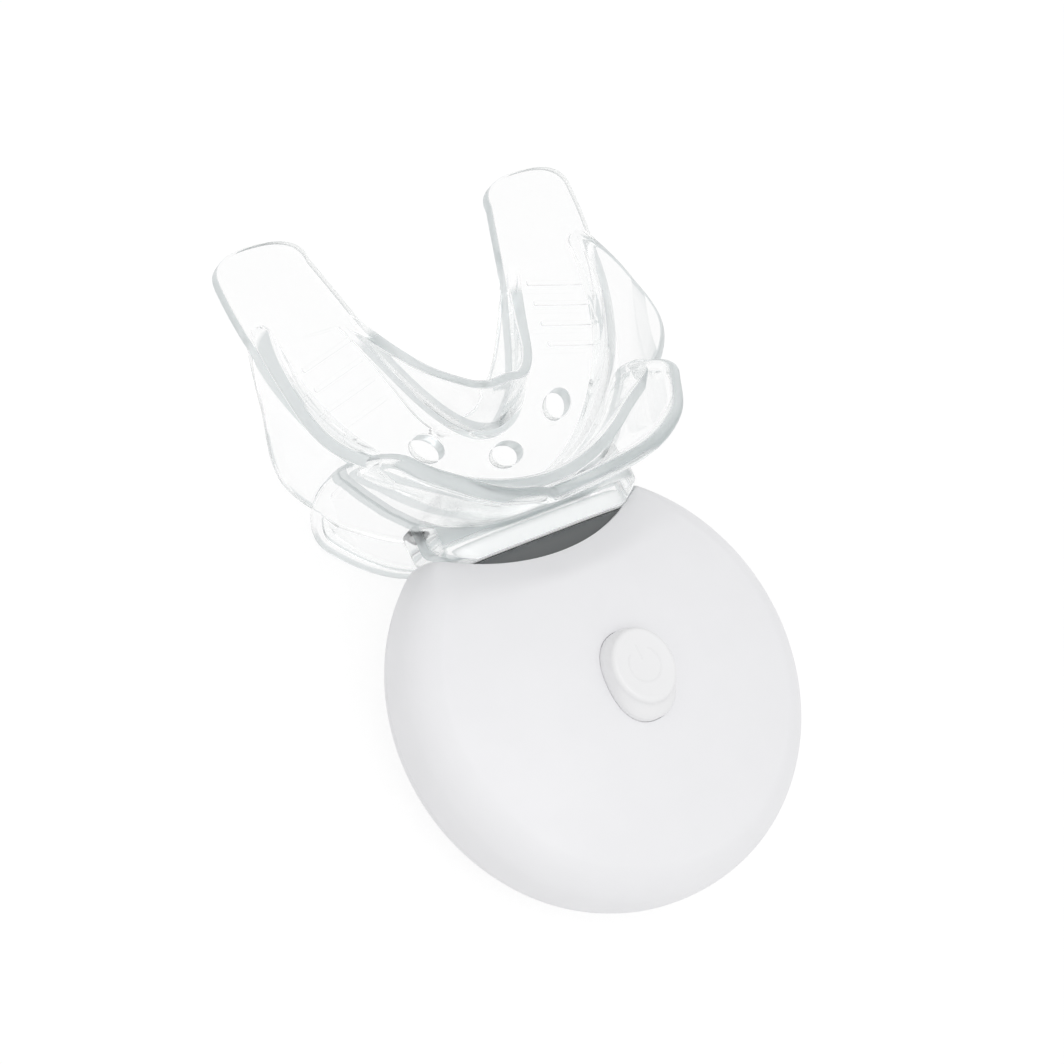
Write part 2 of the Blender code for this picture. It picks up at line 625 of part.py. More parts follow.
def make_button(parts, surface):
    """Button cap: oval flange under the shell, oval neck through it, and a round rounded top."""
    base = button_flange_base()
    neck = base + BUTTON_FLANGE_THICKNESS
    top = CASE_HEIGHT + BUTTON_STAND
    count = 32

    def ring(half_width, half_length, power, height):
        return [(x, BUTTON_Y + y, height) for x, y in oval_ring(half_width, half_length, power, count)]

    rings = [ring(BUTTON_HALF_WIDTH + BUTTON_FLANGE_LIP, BUTTON_HALF_LENGTH + BUTTON_FLANGE_LIP, 2.3, base),
             ring(BUTTON_HALF_WIDTH + BUTTON_FLANGE_LIP, BUTTON_HALF_LENGTH + BUTTON_FLANGE_LIP, 2.3, neck),
             ring(BUTTON_HALF_WIDTH, BUTTON_HALF_LENGTH, 2.3, neck),
             ring(BUTTON_HALF_WIDTH, BUTTON_HALF_LENGTH, 2.3, CASE_HEIGHT + BUTTON_TRAVEL)]
    for step in range(4):
        turn = math.pi / 2 * step / 3
        inset = BUTTON_EDGE_ROUND * (1 - math.cos(turn))
        rings.append(ring(BUTTON_TOP_HALF_WIDTH - inset, BUTTON_TOP_HALF_LENGTH - inset, 2.1,
                          top - BUTTON_EDGE_ROUND * (1 - math.sin(turn))))
    cap = loft("button_cap", rings, parts, surface)
    set_origin(cap, (0, BUTTON_Y, base))
    return cap


def make_battery_bay(parts, cell_surface, contact_surface, door_surface, seal_surface, cutters):
    """Two stacked coin cells, their contacts, and the door with its seal in the rear face."""
    for index, base in enumerate(CELL_BASES):
        top = base + CELL_HEIGHT
        can = [(0, top), (CELL_RADIUS - 3 * CELL_EDGE, top), (CELL_RADIUS - 3 * CELL_EDGE, top - CELL_EDGE),
               (CELL_RADIUS - CELL_EDGE, top - CELL_EDGE), (CELL_RADIUS, top - 2 * CELL_EDGE),
               (CELL_RADIUS, base + CELL_EDGE), (CELL_RADIUS - CELL_EDGE, base), (0, base)]
        turned(f"coin_cell_{index + 1}", can, parts, cell_surface, segments=48)
    box("contact_negative", (-CONTACT_LENGTH / 2, -CONTACT_WIDTH / 2, CONTACT_BASE),
        (CONTACT_LENGTH / 2, CONTACT_WIDTH / 2, CONTACT_BASE + CONTACT_THICKNESS), parts, contact_surface)
    strip_back = CELL_RADIUS + FIT_GAP
    box("contact_positive", (-CONTACT_WIDTH / 2, strip_back, CELL_BASES[0]),
        (CONTACT_WIDTH / 2, strip_back + CONTACT_THICKNESS, BOARD_BASE - FIT_GAP), parts, contact_surface)
    door = turned("battery_door", [(0, DOOR_THICKNESS), (DOOR_RADIUS, DOOR_THICKNESS), (DOOR_RADIUS, 0), (0, 0)],
                  parts, door_surface)
    seal_middle = (WELL_RADIUS + DOOR_RADIUS + FIT_GAP) / 2
    height = DOOR_THICKNESS + SEAL_SQUEEZE + SEAL_WIRE_RADIUS
    steps = 8
    wire = [(seal_middle + SEAL_WIRE_RADIUS * math.sin(2 * math.pi * i / steps),
             height + SEAL_WIRE_RADIUS * math.cos(2 * math.pi * i / steps)) for i in range(steps)]
    turned("door_seal", wire, parts, seal_surface, closed=True)
    return door


def make_screws(parts, cutters, surface):
    """Self-tapping case screws, driven up from the rear, with a plain slot in each head."""
    for index, angle in enumerate(SCREW_ANGLES[:SCREW_COUNT]):
        centre = (SCREW_ORBIT * math.cos(angle), SCREW_ORBIT * math.sin(angle))
        head_top = SCREW_SEAT_HEIGHT - FIT_GAP
        head_base = head_top - SCREW_HEAD_HEIGHT
        tip = SCREW_SEAT_HEIGHT + SCREW_LENGTH
        profile = [(0, tip), (SCREW_SHANK_RADIUS / 2, tip), (SCREW_SHANK_RADIUS, tip - SCREW_SHANK_RADIUS),
                   (SCREW_SHANK_RADIUS, head_top), (SCREW_HEAD_RADIUS, head_top), (SCREW_HEAD_RADIUS, head_base),
                   (0, head_base)]
        screw = turned(f"case_screw_{index + 1}", profile, parts, surface, centre, SMALL_SEGMENTS)
        slot = box(f"screw_slot_{index + 1}",
                   (centre[0] - SCREW_HEAD_RADIUS - OVERRUN, centre[1] - SCREW_SLOT_WIDTH / 2, head_base - OVERRUN),
                   (centre[0] + SCREW_HEAD_RADIUS + OVERRUN, centre[1] + SCREW_SLOT_WIDTH / 2,
                    head_base + SCREW_HEAD_HEIGHT / 2), cutters)
        combine(screw, "DIFFERENCE", as_cutter(slot))


# Tray plan curves, read by their share of length from the front to the arm's end

def plan_curve(points):
    """Returns a function that gives place and outward normal at a share of a curve's length."""
    places = bezier(points, 96)
    lengths = [0.0]
    for first, second in zip(places, places[1:]):
        lengths.append(lengths[-1] + (second - first).length)

    def read(share):
        target = max(0.0, min(1.0, share)) * lengths[-1]
        index = 0
        while index < len(places) - 2 and lengths[index + 1] < target:
            index += 1
        span = lengths[index + 1] - lengths[index]
        t = (target - lengths[index]) / span
        place = places[index].lerp(places[index + 1], t)
        along = (places[index + 1] - places[index]).normalized()
        return place, Vector((along.y, -along.x))

    return read


ARM_OUTER = TIP_SPREAD + ARM_WIDTH / 2
ARM_INNER = TIP_SPREAD - ARM_WIDTH / 2
OUTER_CURVE = plan_curve([(0, -OUTER_FRONT), (OUTER_FRONT_HANDLE, -OUTER_FRONT),
                          (ARM_OUTER, ARM_LENGTH - OUTER_SIDE_HANDLE), (ARM_OUTER, ARM_LENGTH)])
INNER_CURVE = plan_curve([(0, INNER_FRONT), (INNER_FRONT_HANDLE, INNER_FRONT),
                          (INNER_SIDE_X, INNER_SIDE_Y), (ARM_INNER, ARM_LENGTH)])


def tray_point(place, height):
    return Vector((place[0], ARCH_FRONT + place[1], BITE_HEIGHT + height))


def plate_outline():
    """Closed plan of the bite plate, stepped in a little from the outer faces of its walls."""
    half = []
    for index in range(33):
        place, normal = OUTER_CURVE(index / 32)
        half.append(place - PLATE_STEP * normal)
    reach = ARM_WIDTH / 2 - PLATE_STEP
    for index in range(1, 12):
        turn = math.pi * index / 12
        cos, sin = math.cos(turn), math.sin(turn)
        half.append(Vector((TIP_SPREAD + reach * math.copysign(abs(cos) ** 0.8, cos),
                            ARM_LENGTH + TIP_ROUND * sin ** 0.8)))
    for index in range(33):
        place, normal = INNER_CURVE(1 - index / 32)
        half.append(place + PLATE_STEP * normal)
    left = [Vector((-place.x, place.y)) for place in reversed(half[1:-1])]
    return [(place.x, ARCH_FRONT + place.y) for place in half + left]


def outer_wall_point(along, across):
    """Outer wall: along runs from the left arm to the right arm, across from lower to upper rim."""
    share = abs(along) * OUTER_WALL_SHARES[-1]
    upper = across >= 0
    heights = UPPER_WALL_HEIGHTS if upper else LOWER_WALL_HEIGHTS
    flares = UPPER_WALL_FLARES if upper else LOWER_WALL_FLARES
    place, normal = OUTER_CURVE(share)
    flare = smooth_value(OUTER_WALL_SHARES, flares, share) * abs(across) ** 1.3
    tuck = smooth_value(OUTER_WALL_SHARES, OUTER_WALL_TUCKS, share)
    place = place + normal * (flare - tuck - OUTER_WALL / 2)
    height = across * (PLATE_ROOT + smooth_value(OUTER_WALL_SHARES, heights, share))
    return tray_point((math.copysign(place.x, along), place.y), height)


def inner_wall_point(along, across):
    """Inner wall: it leans back towards the tongue, most at the front."""
    share = abs(along) * INNER_WALL_SHARES[-1]
    place, normal = INNER_CURVE(share)
    lean = smooth_value(INNER_WALL_SHARES, INNER_WALL_LEANS, share) * abs(across)
    tuck = smooth_value(INNER_WALL_SHARES, INNER_WALL_TUCKS, share)
    back = Vector((normal.x * INNER_LEAN_SIDE_SHARE, normal.y))
    place = place + normal * (tuck + INNER_WALL / 2) - back * lean
    height = across * (PLATE_ROOT + smooth_value(INNER_WALL_SHARES, INNER_WALL_HEIGHTS, share))
    return tray_point((math.copysign(place.x, along), place.y), height)


def shield_place(side, height):
    """How far forward or back the shield's middle surface lies, at a share of its half width."""
    sweep = SHIELD_SWEEP * abs(side) ** SHIELD_SWEEP_POWER
    return sweep - SHIELD_FRONT - SHIELD_TILT_SHARE * abs(height)


def shield_edge(heights, side):
    """Height of the shield's rim at a share of its half width, rounded off past the last station."""
    last = SHIELD_SHARES[-1]
    flat = smooth_value(SHIELD_SHARES, heights, min(side, last))
    past = max(0.0, side - last) / (1 - last)
    return SHIELD_END_HEIGHT + (flat - SHIELD_END_HEIGHT) * math.sqrt(max(0.0, 1 - past * past))


def shield_point(across, up):
    """Lip shield: a lobed oval that wraps back at its ends."""
    side = across * math.sqrt(1 - up * up / 2)
    rise = up * math.sqrt(1 - across * across / 2)
    span = math.sqrt(max(0.0, 1 - side * side))
    share = max(-1.0, min(1.0, rise / span)) if span > 0 else 0.0
    top = shield_edge(SHIELD_TOPS, abs(side))
    bottom = shield_edge(SHIELD_BOTTOMS, abs(side))
    height = (top + bottom) / 2 + share * (top - bottom) / 2
    return tray_point((side * SHIELD_HALF_WIDTH, shield_place(side, height)), height)


def make_shield_bead(cutters):
    """Rolled rim of the lip shield, as a tube along its edge."""
    count = 22
    corners = [(-1, -1), (1, -1), (1, 1), (-1, 1)]
    route = []
    for first, second in zip(corners, corners[1:] + corners[:1]):
        for index in range(count):
            t = index / count
            route.append(shield_point(first[0] + (second[0] - first[0]) * t, first[1] + (second[1] - first[1]) * t))
    data = bpy.data.curves.new("shield_bead", "CURVE")
    data.dimensions = "3D"
    data.bevel_depth = SHIELD_BEAD_RADIUS
    data.bevel_resolution = 1
    spline = data.splines.new("POLY")
    spline.points.add(len(route) - 1)
    for point, place in zip(spline.points, route):
        point.co = (*place, 1)
    spline.use_cyclic_u = True
    thing = bpy.data.objects.new("shield_bead", data)
    cutters.objects.link(thing)
    bpy.context.view_layer.update()
    return bake(thing)


def make_socket(cutters):
    """Oval socket of the tray, rooted in the lip shield and trimmed to clear the case's concave cut."""
    ring = oval_ring(SOCKET_HALF_WIDTH, SOCKET_HALF_HEIGHT, 4.0, 40)
    near = [(x, SOCKET_END, SOCKET_HEIGHT + z) for x, z in ring]
    far = [(x, ARCH_FRONT + shield_place(x / SHIELD_HALF_WIDTH, 0), SOCKET_HEIGHT + z) for x, z in ring]
    socket = loft("tray_socket", [near, far], cutters)
    clear = cylinder("socket_clearance", (0, CUT_CENTRE), CUT_RADIUS - NOSE_GAP, -OVERRUN,
                     CASE_HEIGHT + OVERRUN, cutters, segments=ROUND_SEGMENTS)
    combine(socket, "INTERSECT", as_cutter(clear))
    bore = oval_ring(SOCKET_HALF_WIDTH - SOCKET_SIDE_WALL, SOCKET_HALF_HEIGHT - SOCKET_WALL, 4.0, 32)
    hollow = loft("socket_bore", [[(x, y, SOCKET_HEIGHT + z) for x, z in bore]
                                  for y in (SOCKET_END - OVERRUN, SOCKET_FLOOR)], cutters)
    return as_cutter(socket), as_cutter(hollow)


def make_plate_hole(name, place, turn, cutters):
    ring = oval_ring(HOLE_LENGTH / 2, HOLE_WIDTH / 2, 2.0, 16)
    cos, sin = math.cos(turn), math.sin(turn)
    loops = []
    for height in (-PLATE_THICKNESS, PLATE_THICKNESS):
        loops.append([tray_point((place[0] + x * cos - y * sin, place[1] + x * sin + y * cos), height)
                      for x, y in ring])
    return as_cutter(loft(name, loops, cutters))


def make_ridge(name, side, row, cutters):
    """A low half-round ridge across an arm of the bite plate."""
    shape = bmesh.new()
    bmesh.ops.create_cone(shape, cap_ends=True, segments=8, radius1=RIDGE_RADIUS, radius2=RIDGE_RADIUS,
                          depth=RIDGE_LENGTH)
    cos, sin = math.cos(RIDGE_TURN), math.sin(RIDGE_TURN)
    centre = Vector((RIDGE_CENTRE_X + row * RIDGE_DRIFT, RIDGE_START + row * RIDGE_PITCH))
    for vertex in shape.verts:
        x, y, z = vertex.co
        across = centre.x + z * cos + y * sin
        along = centre.y - z * sin + y * cos
        vertex.co = tray_point((side * across, along), PLATE_THICKNESS / 2 + x)
    bmesh.ops.recalc_face_normals(shape, faces=shape.faces)
    return as_cutter(object_from_bmesh(name, shape, cutters))


def make_mouthpiece(parts, cutters, surface):
    """The tray's one moulding: plate, walls, lip shield with its rim, and socket."""
    tray = slab("mouthpiece", plate_outline(), BITE_HEIGHT, PLATE_THICKNESS, parts)
    tray.data.materials.append(surface)
    outer = as_cutter(sheet("outer_wall", 56, 6, outer_wall_point, OUTER_WALL, cutters))
    inner = as_cutter(sheet("inner_wall", 40, 4, inner_wall_point, INNER_WALL, cutters))
    shield = as_cutter(sheet("lip_shield", 30, 12, shield_point, SHIELD_THICKNESS, cutters))
    bead = as_cutter(make_shield_bead(cutters))
    socket, hollow = make_socket(cutters)
    combine(tray, "UNION", outer, inner, shield, bead, socket)
    for side in (-1, 1):
        for row in range(RIDGE_COUNT):
            combine(tray, "UNION", make_ridge(f"ridge_{row + 1}_{'left' if side < 0 else 'right'}", side, row, cutters))
    holes = [make_plate_hole("front_hole", (0, 0), 0, cutters),
             make_plate_hole("left_hole", (-SIDE_HOLE_X, SIDE_HOLE_Y), -SIDE_HOLE_TURN, cutters),
             make_plate_hole("right_hole", (SIDE_HOLE_X, SIDE_HOLE_Y), SIDE_HOLE_TURN, cutters)]
    combine(tray, "DIFFERENCE", hollow, *holes)
    set_origin(tray, (0, SOCKET_END, BITE_HEIGHT))
    return tray


def main():
    for thing in list(bpy.data.objects):
        bpy.data.objects.remove(thing)
    parts = make_collection("mouth_tray_light")
    cutters = make_collection("cutters")

    clear = make_material("clear_elastomer", (0.90, 0.95, 0.95), 0.12, alpha=0.35)
    shell = make_material("white_shell", (0.86, 0.86, 0.87), 0.38)
    smoked = make_material("smoked_window", (0.10, 0.11, 0.11), 0.18)
    cap = make_material("button_white", (0.88, 0.88, 0.89), 0.45)
    board = make_material("board_green", (0.03, 0.22, 0.10), 0.45)
    diode = make_material("led_resin", (0.90, 0.88, 0.60), 0.20)
    reflector = make_material("reflector_white", (0.90, 0.90, 0.90), 0.50)
    chip = make_material("component_black", (0.03, 0.03, 0.03), 0.50)
    steel = make_material("bright_steel", (0.70, 0.70, 0.72), 0.25, 1.0)
    brass = make_material("contact_brass", (0.80, 0.62, 0.30), 0.30, 1.0)
    rubber = make_material("seal_rubber", (0.05, 0.05, 0.05), 0.70)
    pale = make_material("plunger_ivory", (0.80, 0.76, 0.66), 0.50)

    make_front_shell(parts, cutters, shell)
    make_rear_shell(parts, cutters, shell)
    make_light_window(parts, cutters, smoked)
    make_light_source(parts, cutters, board, diode, reflector)
    make_main_board(parts, cutters, board, chip, steel)
    make_switch(parts, cutters, chip, steel, pale)
    make_button(parts, cap)
    make_battery_bay(parts, steel, brass, shell, rubber, cutters)
    make_screws(parts, cutters, steel)
    make_mouthpiece(parts, cutters, clear)
    for thing in parts.objects:
        shade_round(thing)


main()
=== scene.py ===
# Mouth tray light: a clear bite tray that plugs onto a round case with LEDs, a button and coin cells.
import math

import bmesh
import bpy
from mathutils import Matrix, Vector


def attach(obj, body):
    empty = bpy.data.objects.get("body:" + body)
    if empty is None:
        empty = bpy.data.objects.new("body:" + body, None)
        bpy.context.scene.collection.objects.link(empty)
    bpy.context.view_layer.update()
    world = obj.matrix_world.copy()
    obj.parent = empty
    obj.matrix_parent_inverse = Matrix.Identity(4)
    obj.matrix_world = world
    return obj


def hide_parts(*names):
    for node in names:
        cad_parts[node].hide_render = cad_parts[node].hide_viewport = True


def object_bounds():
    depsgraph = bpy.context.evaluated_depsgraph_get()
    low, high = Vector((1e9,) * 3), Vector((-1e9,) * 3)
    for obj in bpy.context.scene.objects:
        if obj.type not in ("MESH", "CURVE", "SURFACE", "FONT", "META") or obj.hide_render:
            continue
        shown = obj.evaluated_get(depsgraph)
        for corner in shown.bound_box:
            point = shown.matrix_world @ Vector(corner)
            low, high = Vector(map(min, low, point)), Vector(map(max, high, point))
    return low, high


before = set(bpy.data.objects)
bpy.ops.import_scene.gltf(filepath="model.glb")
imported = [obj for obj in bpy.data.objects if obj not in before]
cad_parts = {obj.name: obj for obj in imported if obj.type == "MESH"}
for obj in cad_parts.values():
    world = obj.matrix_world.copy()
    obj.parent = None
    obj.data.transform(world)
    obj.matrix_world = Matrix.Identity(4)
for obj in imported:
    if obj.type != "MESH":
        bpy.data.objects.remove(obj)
CAD_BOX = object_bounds()

bl_info = {
    "name": "Mouth tray light",
    "version": (1, 0, 0),
    "blender": (4, 5, 0),
    "location": "3D View > Sidebar > Mouth Tray",
    "description": "Clear bite tray that plugs onto a round case with LEDs, a button and coin cells",
    "category": "Object",
}

MM = 0.001
MERGE_DISTANCE = 0.004 * MM
FIT_GAP = 0.3 * MM
SEEN_GAP = 0.06 * MM
OVERRUN = 1.0 * MM
SMALL_SEGMENTS = 48
SLOT_SEGMENTS = 64
FINE_SEGMENTS = 96
OVAL_SEGMENTS = 128

# Bite tray in plan, from the middle of its front hole
ARCH_FRONT = 35.5 * MM
BITE_HEIGHT = 11.6 * MM
PLATE_STEP = 0.4 * MM
PLATE_POINTS = 48
TIP_ROUND = 4.2 * MM
TIP_POWER = 0.8
TIP_POINTS = 24
OUTER_FRONT = 7.75 * MM
OUTER_FRONT_HANDLE = 15.4 * MM
OUTER_SIDE_HANDLE = 24.9 * MM
INNER_FRONT = 4.9 * MM
INNER_FRONT_HANDLE = 7.5 * MM
INNER_SIDE = (12.5 * MM, 27.0 * MM)

# Tray walls, at stations along the arch from its front to its tip
OUTER_SHARES = (0.0, 0.3, 0.55, 0.72, 0.88)
UPPER_HEIGHTS = (8.0 * MM, 7.6 * MM, 6.8 * MM, 3.8 * MM, 0.0)
LOWER_HEIGHTS = (10.0 * MM, 12.0 * MM, 9.4 * MM, 3.6 * MM, 0.0)
UPPER_FLARES = (0.0, 1.4 * MM, 5.8 * MM, 2.8 * MM, 0.0)
LOWER_FLARES = (0.0, 1.4 * MM, 5.0 * MM, 2.2 * MM, 0.0)
FLARE_POWER = 1.3
WALL_TUCKS = (0.0, 0.0, 0.0, 0.3 * MM, 1.2 * MM)
INNER_SHARES = (0.0, 0.2, 0.42, 0.6, 0.76)
INNER_HEIGHTS = (8.6 * MM, 6.6 * MM, 3.2 * MM, 1.2 * MM, 0.0)
INNER_LEANS = (4.6 * MM, 3.2 * MM, 1.2 * MM, 0.4 * MM, 0.0)
LEAN_SIDE_SHARE = 0.35
OUTER_WALL_INSET = 1.1 * MM
INNER_WALL_INSET = 0.9 * MM
OUTER_WALL_COLUMNS = 200
INNER_WALL_COLUMNS = 150
WALL_END_COLUMNS = 4
WALL_ROWS = 7
WALL_PROBE = 0.004
PLATE_ROOT = 1.05 * MM
PLATE_EDGE = 0.4 * MM
WALL_CORNER = 0.4 * MM
WALL_BLEND = 6.0 * MM

# Holes and ridges of the plate: places, and turns in degrees
PLATE_HOLES = ((0, 0, 0), (-11.4 * MM, 4.5 * MM, -38), (11.4 * MM, 4.5 * MM, 38))
HOLE_EASE = 0.25 * MM
RIDGES = 4
RIDGE_RADIUS = 0.4 * MM
RIDGE_LENGTH = 9.4 * MM
RIDGE_END = 0.32 * MM
RIDGE_START = (18.6 * MM, 12.0 * MM)
RIDGE_STEP = (0.4 * MM, 3.2 * MM)
RIDGE_TURN = math.radians(15)

# Lip shield of the tray
SHIELD_HALF_WIDTH = 24.8 * MM
SHIELD_FRONT = 8.3 * MM
SHIELD_SWEEP = 13.6 * MM
SHIELD_SWEEP_POWER = 3.5
SHIELD_TILT_SHARE = 0.08
SHIELD_TILT_EASE = 1.5 * MM
SHIELD_SHARES = (0.0, 0.35, 0.7, 0.9)
SHIELD_TOPS = (8.1 * MM, 15.45 * MM, 16.8 * MM, 13.75 * MM)
SHIELD_BOTTOMS = (-11.0 * MM, -15.45 * MM, -16.35 * MM, -17.1 * MM)
SHIELD_END_HEIGHT = -6.0 * MM
SHIELD_RINGS = (0.15, 0.3, 0.45, 0.6, 0.72, 0.83, 0.92)
SHIELD_COLUMNS = 220
SHIELD_CROWDING = 0.3
BEAD_STEPS = 8
BEAD_PROBE = 0.01

# Socket of the tray, and the nose of the case that it plugs over
OVAL_POWER = 4.0
SOCKET_HALF = (18.3 * MM, 5.6 * MM)
SOCKET_BORE_HALF = (15.4 * MM, 3.9 * MM)
SOCKET_HEIGHT = 9.6 * MM
SOCKET_END = 22.5 * MM
SOCKET_FLOOR = 26.1 * MM
SOCKET_CLEAR = 0.4 * MM
SOCKET_EDGE = 0.6 * MM
NOSE_HALF = (15.0 * MM, 3.5 * MM)
NOSE_TIP = 25.5 * MM
NOSE_WALL = 1.2 * MM
NOSE_JOINT = 22.5 * MM
NOSE_SEAM = 0.1 * MM
NOSE_EASE = 0.15 * MM
NOSE_SLOT = (17.8 * MM, 27.0 * MM)
NOSE_FLANGE = (16.5 * MM, 17.5 * MM)
FLANGE_LIP = 1.2 * MM
FLANGE_LOWER = 0.45 * MM
LENS_EDGE = 1.0 * MM
LENS_CORNER = 0.4 * MM
LENS_FLAT = 2.2 * MM

# Where the tray is satin and tinted grey as painted shade: heights, depths and facings between which each
# mask goes from 0 to 1
RIM_CLEAR = (1.9 * MM, 2.3 * MM)
RIM_PAST_SOCKET = (25.6 * MM, 26.2 * MM)
RIM_LEVEL = (0.7, 0.85)
RIM_FLARED = (0.85, 0.95)
RIM_OUTWARD_SHARE = 0.75
ARCH_CENTRE = ARCH_FRONT + 20.0 * MM
OUTER_SIDE = (0.07 / MM, ARCH_FRONT - 1.4 * MM)
PLATE_SIDE_STEEP = (0.6, 0.4)
PLATE_SIDE_HALF = 1.22 * MM
BEAD_NEAR = (2.0 * MM, 1.6 * MM)
BEAD_TURNED = (0.8, 0.6)
TRAY_ROUGHNESS = (0.05, 0.32)
TRAY_SHADE = (0.93, 0.95, 0.95, 1.0)
TRAY_DENSITY = 10.0
TRAY_DEEPEST_RAY = 4.5

# Case profile
SHOULDER_INSET = 1.2 * MM
SHOULDER_HEIGHT = 13.7 * MM
SHOULDER_SINK = 0.45 * MM
SIDE_INSET = 0.4 * MM
SIDE_HEIGHT = 10.6 * MM
EQUATOR_HEIGHT = 7.5 * MM
REAR_CORNER_INSET = 4.0 * MM
REAR_RIM_HEIGHT = 3.0 * MM
REAR_ROLL_WIDTH = 4.0 * MM
REAR_RINGS = (18.5 * MM, 16.0 * MM)
SPLIT_INSET = 0.3 * MM
HORN_ROUND = 1.2 * MM
HORN_X = 18.0 * MM
FACET_SLOPE = (0.62, 0.45)
FACET_DROP = 2.9 * MM
FACET_SHARE_LIMIT = 1.2
FACET_EASE = 0.5 * MM
FACET_INSET = 1.15
# Degrees from the cut's middle, and the steps between them
CASE_TURNS = ((0, 30, 24), (30, 42, 32), (42, 180, 84))
# How far the upper shell's lower edge is drawn in, and the height above it
SKIRT = ((0.0, 1.45 * MM), (0.03 * MM, 0.65 * MM), (0.06 * MM, 0.35 * MM), (0.12 * MM, 0.12 * MM),
         (0.3 * MM, 0.0))

# Button, its hole and its sign
BUTTON_Y = -1.0 * MM
HOLE_HALF = (5.03 * MM, 6.63 * MM)
HOLE_POWER = 2.3
# How much wider than the hole its edge is, and how far below the dome
HOLE_EDGE = ((0.0, 0.15 * MM), (0.02 * MM, 0.06 * MM), (0.07 * MM, 0.015 * MM), (0.15 * MM, 0.0))
HOLE_DEPTH_SHARE = 0.85
HOLE_SPREAD = 0.4 * MM
HOLE_BLEND_RADIUS = 12.0 * MM
DOME_START = 12.4 * MM
CAP_FLANGE = (1.1 * MM, 1.0 * MM)
CAP_EASE = 0.1 * MM
CAP_NECK = 0.5 * MM
CAP_FLANK_STEPS = 8
CAP_POWER = 2.0
CAP_DISH = 0.18 * MM
SIGN_HALF_LINE = 0.16 * MM
SIGN_RELIEF = 0.03 * MM
SIGN_GAP = math.radians(34)
SIGN_BAR = (0.25, 1.25)

# Battery bay and screws
SEAT_HEIGHT = 2.2 * MM
WELL_TOP = 9.5 * MM
WELL_CORNER = 0.2 * MM
DOOR_EASE = 0.07 * MM
NOTCH_RADIUS = 1.6 * MM
COIN_SLOT_HALF = (7.0 * MM, 0.85 * MM)
COIN_SLOT_POWER = 7.0
COIN_SLOT_DEPTH = 0.75 * MM
SEAL_WIRE = 0.4 * MM
SEAL_CLEAR = 0.1 * MM
CONTACT_LEAF = 0.3 * MM
CONTACT_HALF = (6.0 * MM, 2.0 * MM)
DIMPLE_RADIUS = 1.2 * MM
DIMPLE_FLATNESS = 0.2
DIMPLE_HEIGHT = 4.0 * MM
SCREW_ANGLES = (math.radians(20), math.radians(160), math.radians(245), math.radians(295))
SCREW_ORBIT = 23.5 * MM
SCREW_SEAT = 2.4 * MM
SCREW_BASE = 1.0 * MM
SCREW_TIP = 10.4 * MM
SCREW_HEAD_BORE = 1.9 * MM
SCREW_SHANK_BORE = 1.1 * MM
SCREW_BOSS = 2.6 * MM
SCREW_POST = 2.2 * MM
SCREW_PILOT = 1.0 * MM
CELLS = 2
LEDS = 5

# Patches of slow change in a finish, in mm, and the middle range of a noise texture
PATCH = 6.0
NOISE_RANGE = (0.3, 0.7)

# Floor, lamp and world
FLOOR_SIZE = 6.0
FLOOR_FADE = (0.10, 0.42)
FLOOR_SEEN = 0.87
FLOOR_THROUGH = 0.84
FLOOR_PAPER = (0.85, 0.16)
BALANCE_SHIFT = 12 * MM
SKY_RISE = 0.75
KEY_PLACE = (-0.12, -0.10, 0.60)
KEY_SIZE = 0.5
KEY_AIM = (0, 0.02, 0.01)

# The camera, from the photograph's viewing angle
CAMERA_PLACE = (-0.1759, -0.0208, 0.2982)
CAMERA_ROWS = ((0.8011, 0.3038, -0.5157), (-0.4246, 0.8957, -0.1319), (0.4218, 0.3246, 0.8466))
CAMERA_LENS = 81.25
CAMERA_SENSOR = 36.0
CAMERA_CLIP = (0.01, 20.0)


def linear(code):
    """A hex colour in sRGB as three linear values."""
    values = [int(code[i:i + 2], 16) / 255 for i in (1, 3, 5)]
    return tuple(v / 12.92 if v <= 0.04045 else ((v + 0.055) / 1.055) ** 2.4 for v in values)


def length_prop(name, description, millimetres):
    return bpy.props.FloatProperty(name=name, description=description, default=millimetres * MM,
                                   unit="LENGTH", subtype="DISTANCE", precision=5)


def colour_prop(name, description, code):
    return bpy.props.FloatVectorProperty(name=name, description=description, default=linear(code),
                                         subtype="COLOR", size=3, min=0.0, max=1.0)


class TraySizes(bpy.types.PropertyGroup):
    plate: length_prop("Plate", "Thickness of the bite plate", 2.4)
    spread: length_prop("Tip spread", "From the middle to the centre of each arm's tip", 23.0)
    arm_width: length_prop("Arm width", "Width of each arm at its tip", 15.4)
    arm_length: length_prop("Arm length", "From the front hole to where the arms' tips start to round", 35.6)
    outer_root: length_prop("Outer root", "From the outer wall's middle to its outside, at the plate", 1.1)
    inner_root: length_prop("Inner root", "From the outer wall's middle to its inside, at the plate", 2.4)
    outer_rim: length_prop("Outer rim", "Thickness of the outer wall at its rims", 1.9)
    tongue_root: length_prop("Tongue root", "From the inner wall's middle to its bite side", 1.7)
    tongue_rim: length_prop("Tongue rim", "Thickness of the inner wall at its rims", 1.7)
    shield: length_prop("Shield", "Thickness of the lip shield", 2.0)
    bead: length_prop("Shield bead", "Radius of the shield's rolled rim", 1.2)
    hole_length: length_prop("Hole length", "Longer width of the holes in the plate", 5.0)
    hole_width: length_prop("Hole width", "Shorter width of the holes in the plate", 3.6)
    tint: colour_prop("Tint", "Colour of light that has passed through the clear silicone", "#FFFFFF")
    # Painted shade: the grey that the satin rims and the plate's sides take, standing in for the shade that
    # light takes on along the tall walls
    rim_shade_tint: colour_prop("Rim tint", "Colour of light that has passed through the satin rims", "#C9CFD0")
    depth_tint: colour_prop("Depth tint", "Colour that thick places take on", "#D3DCDC")


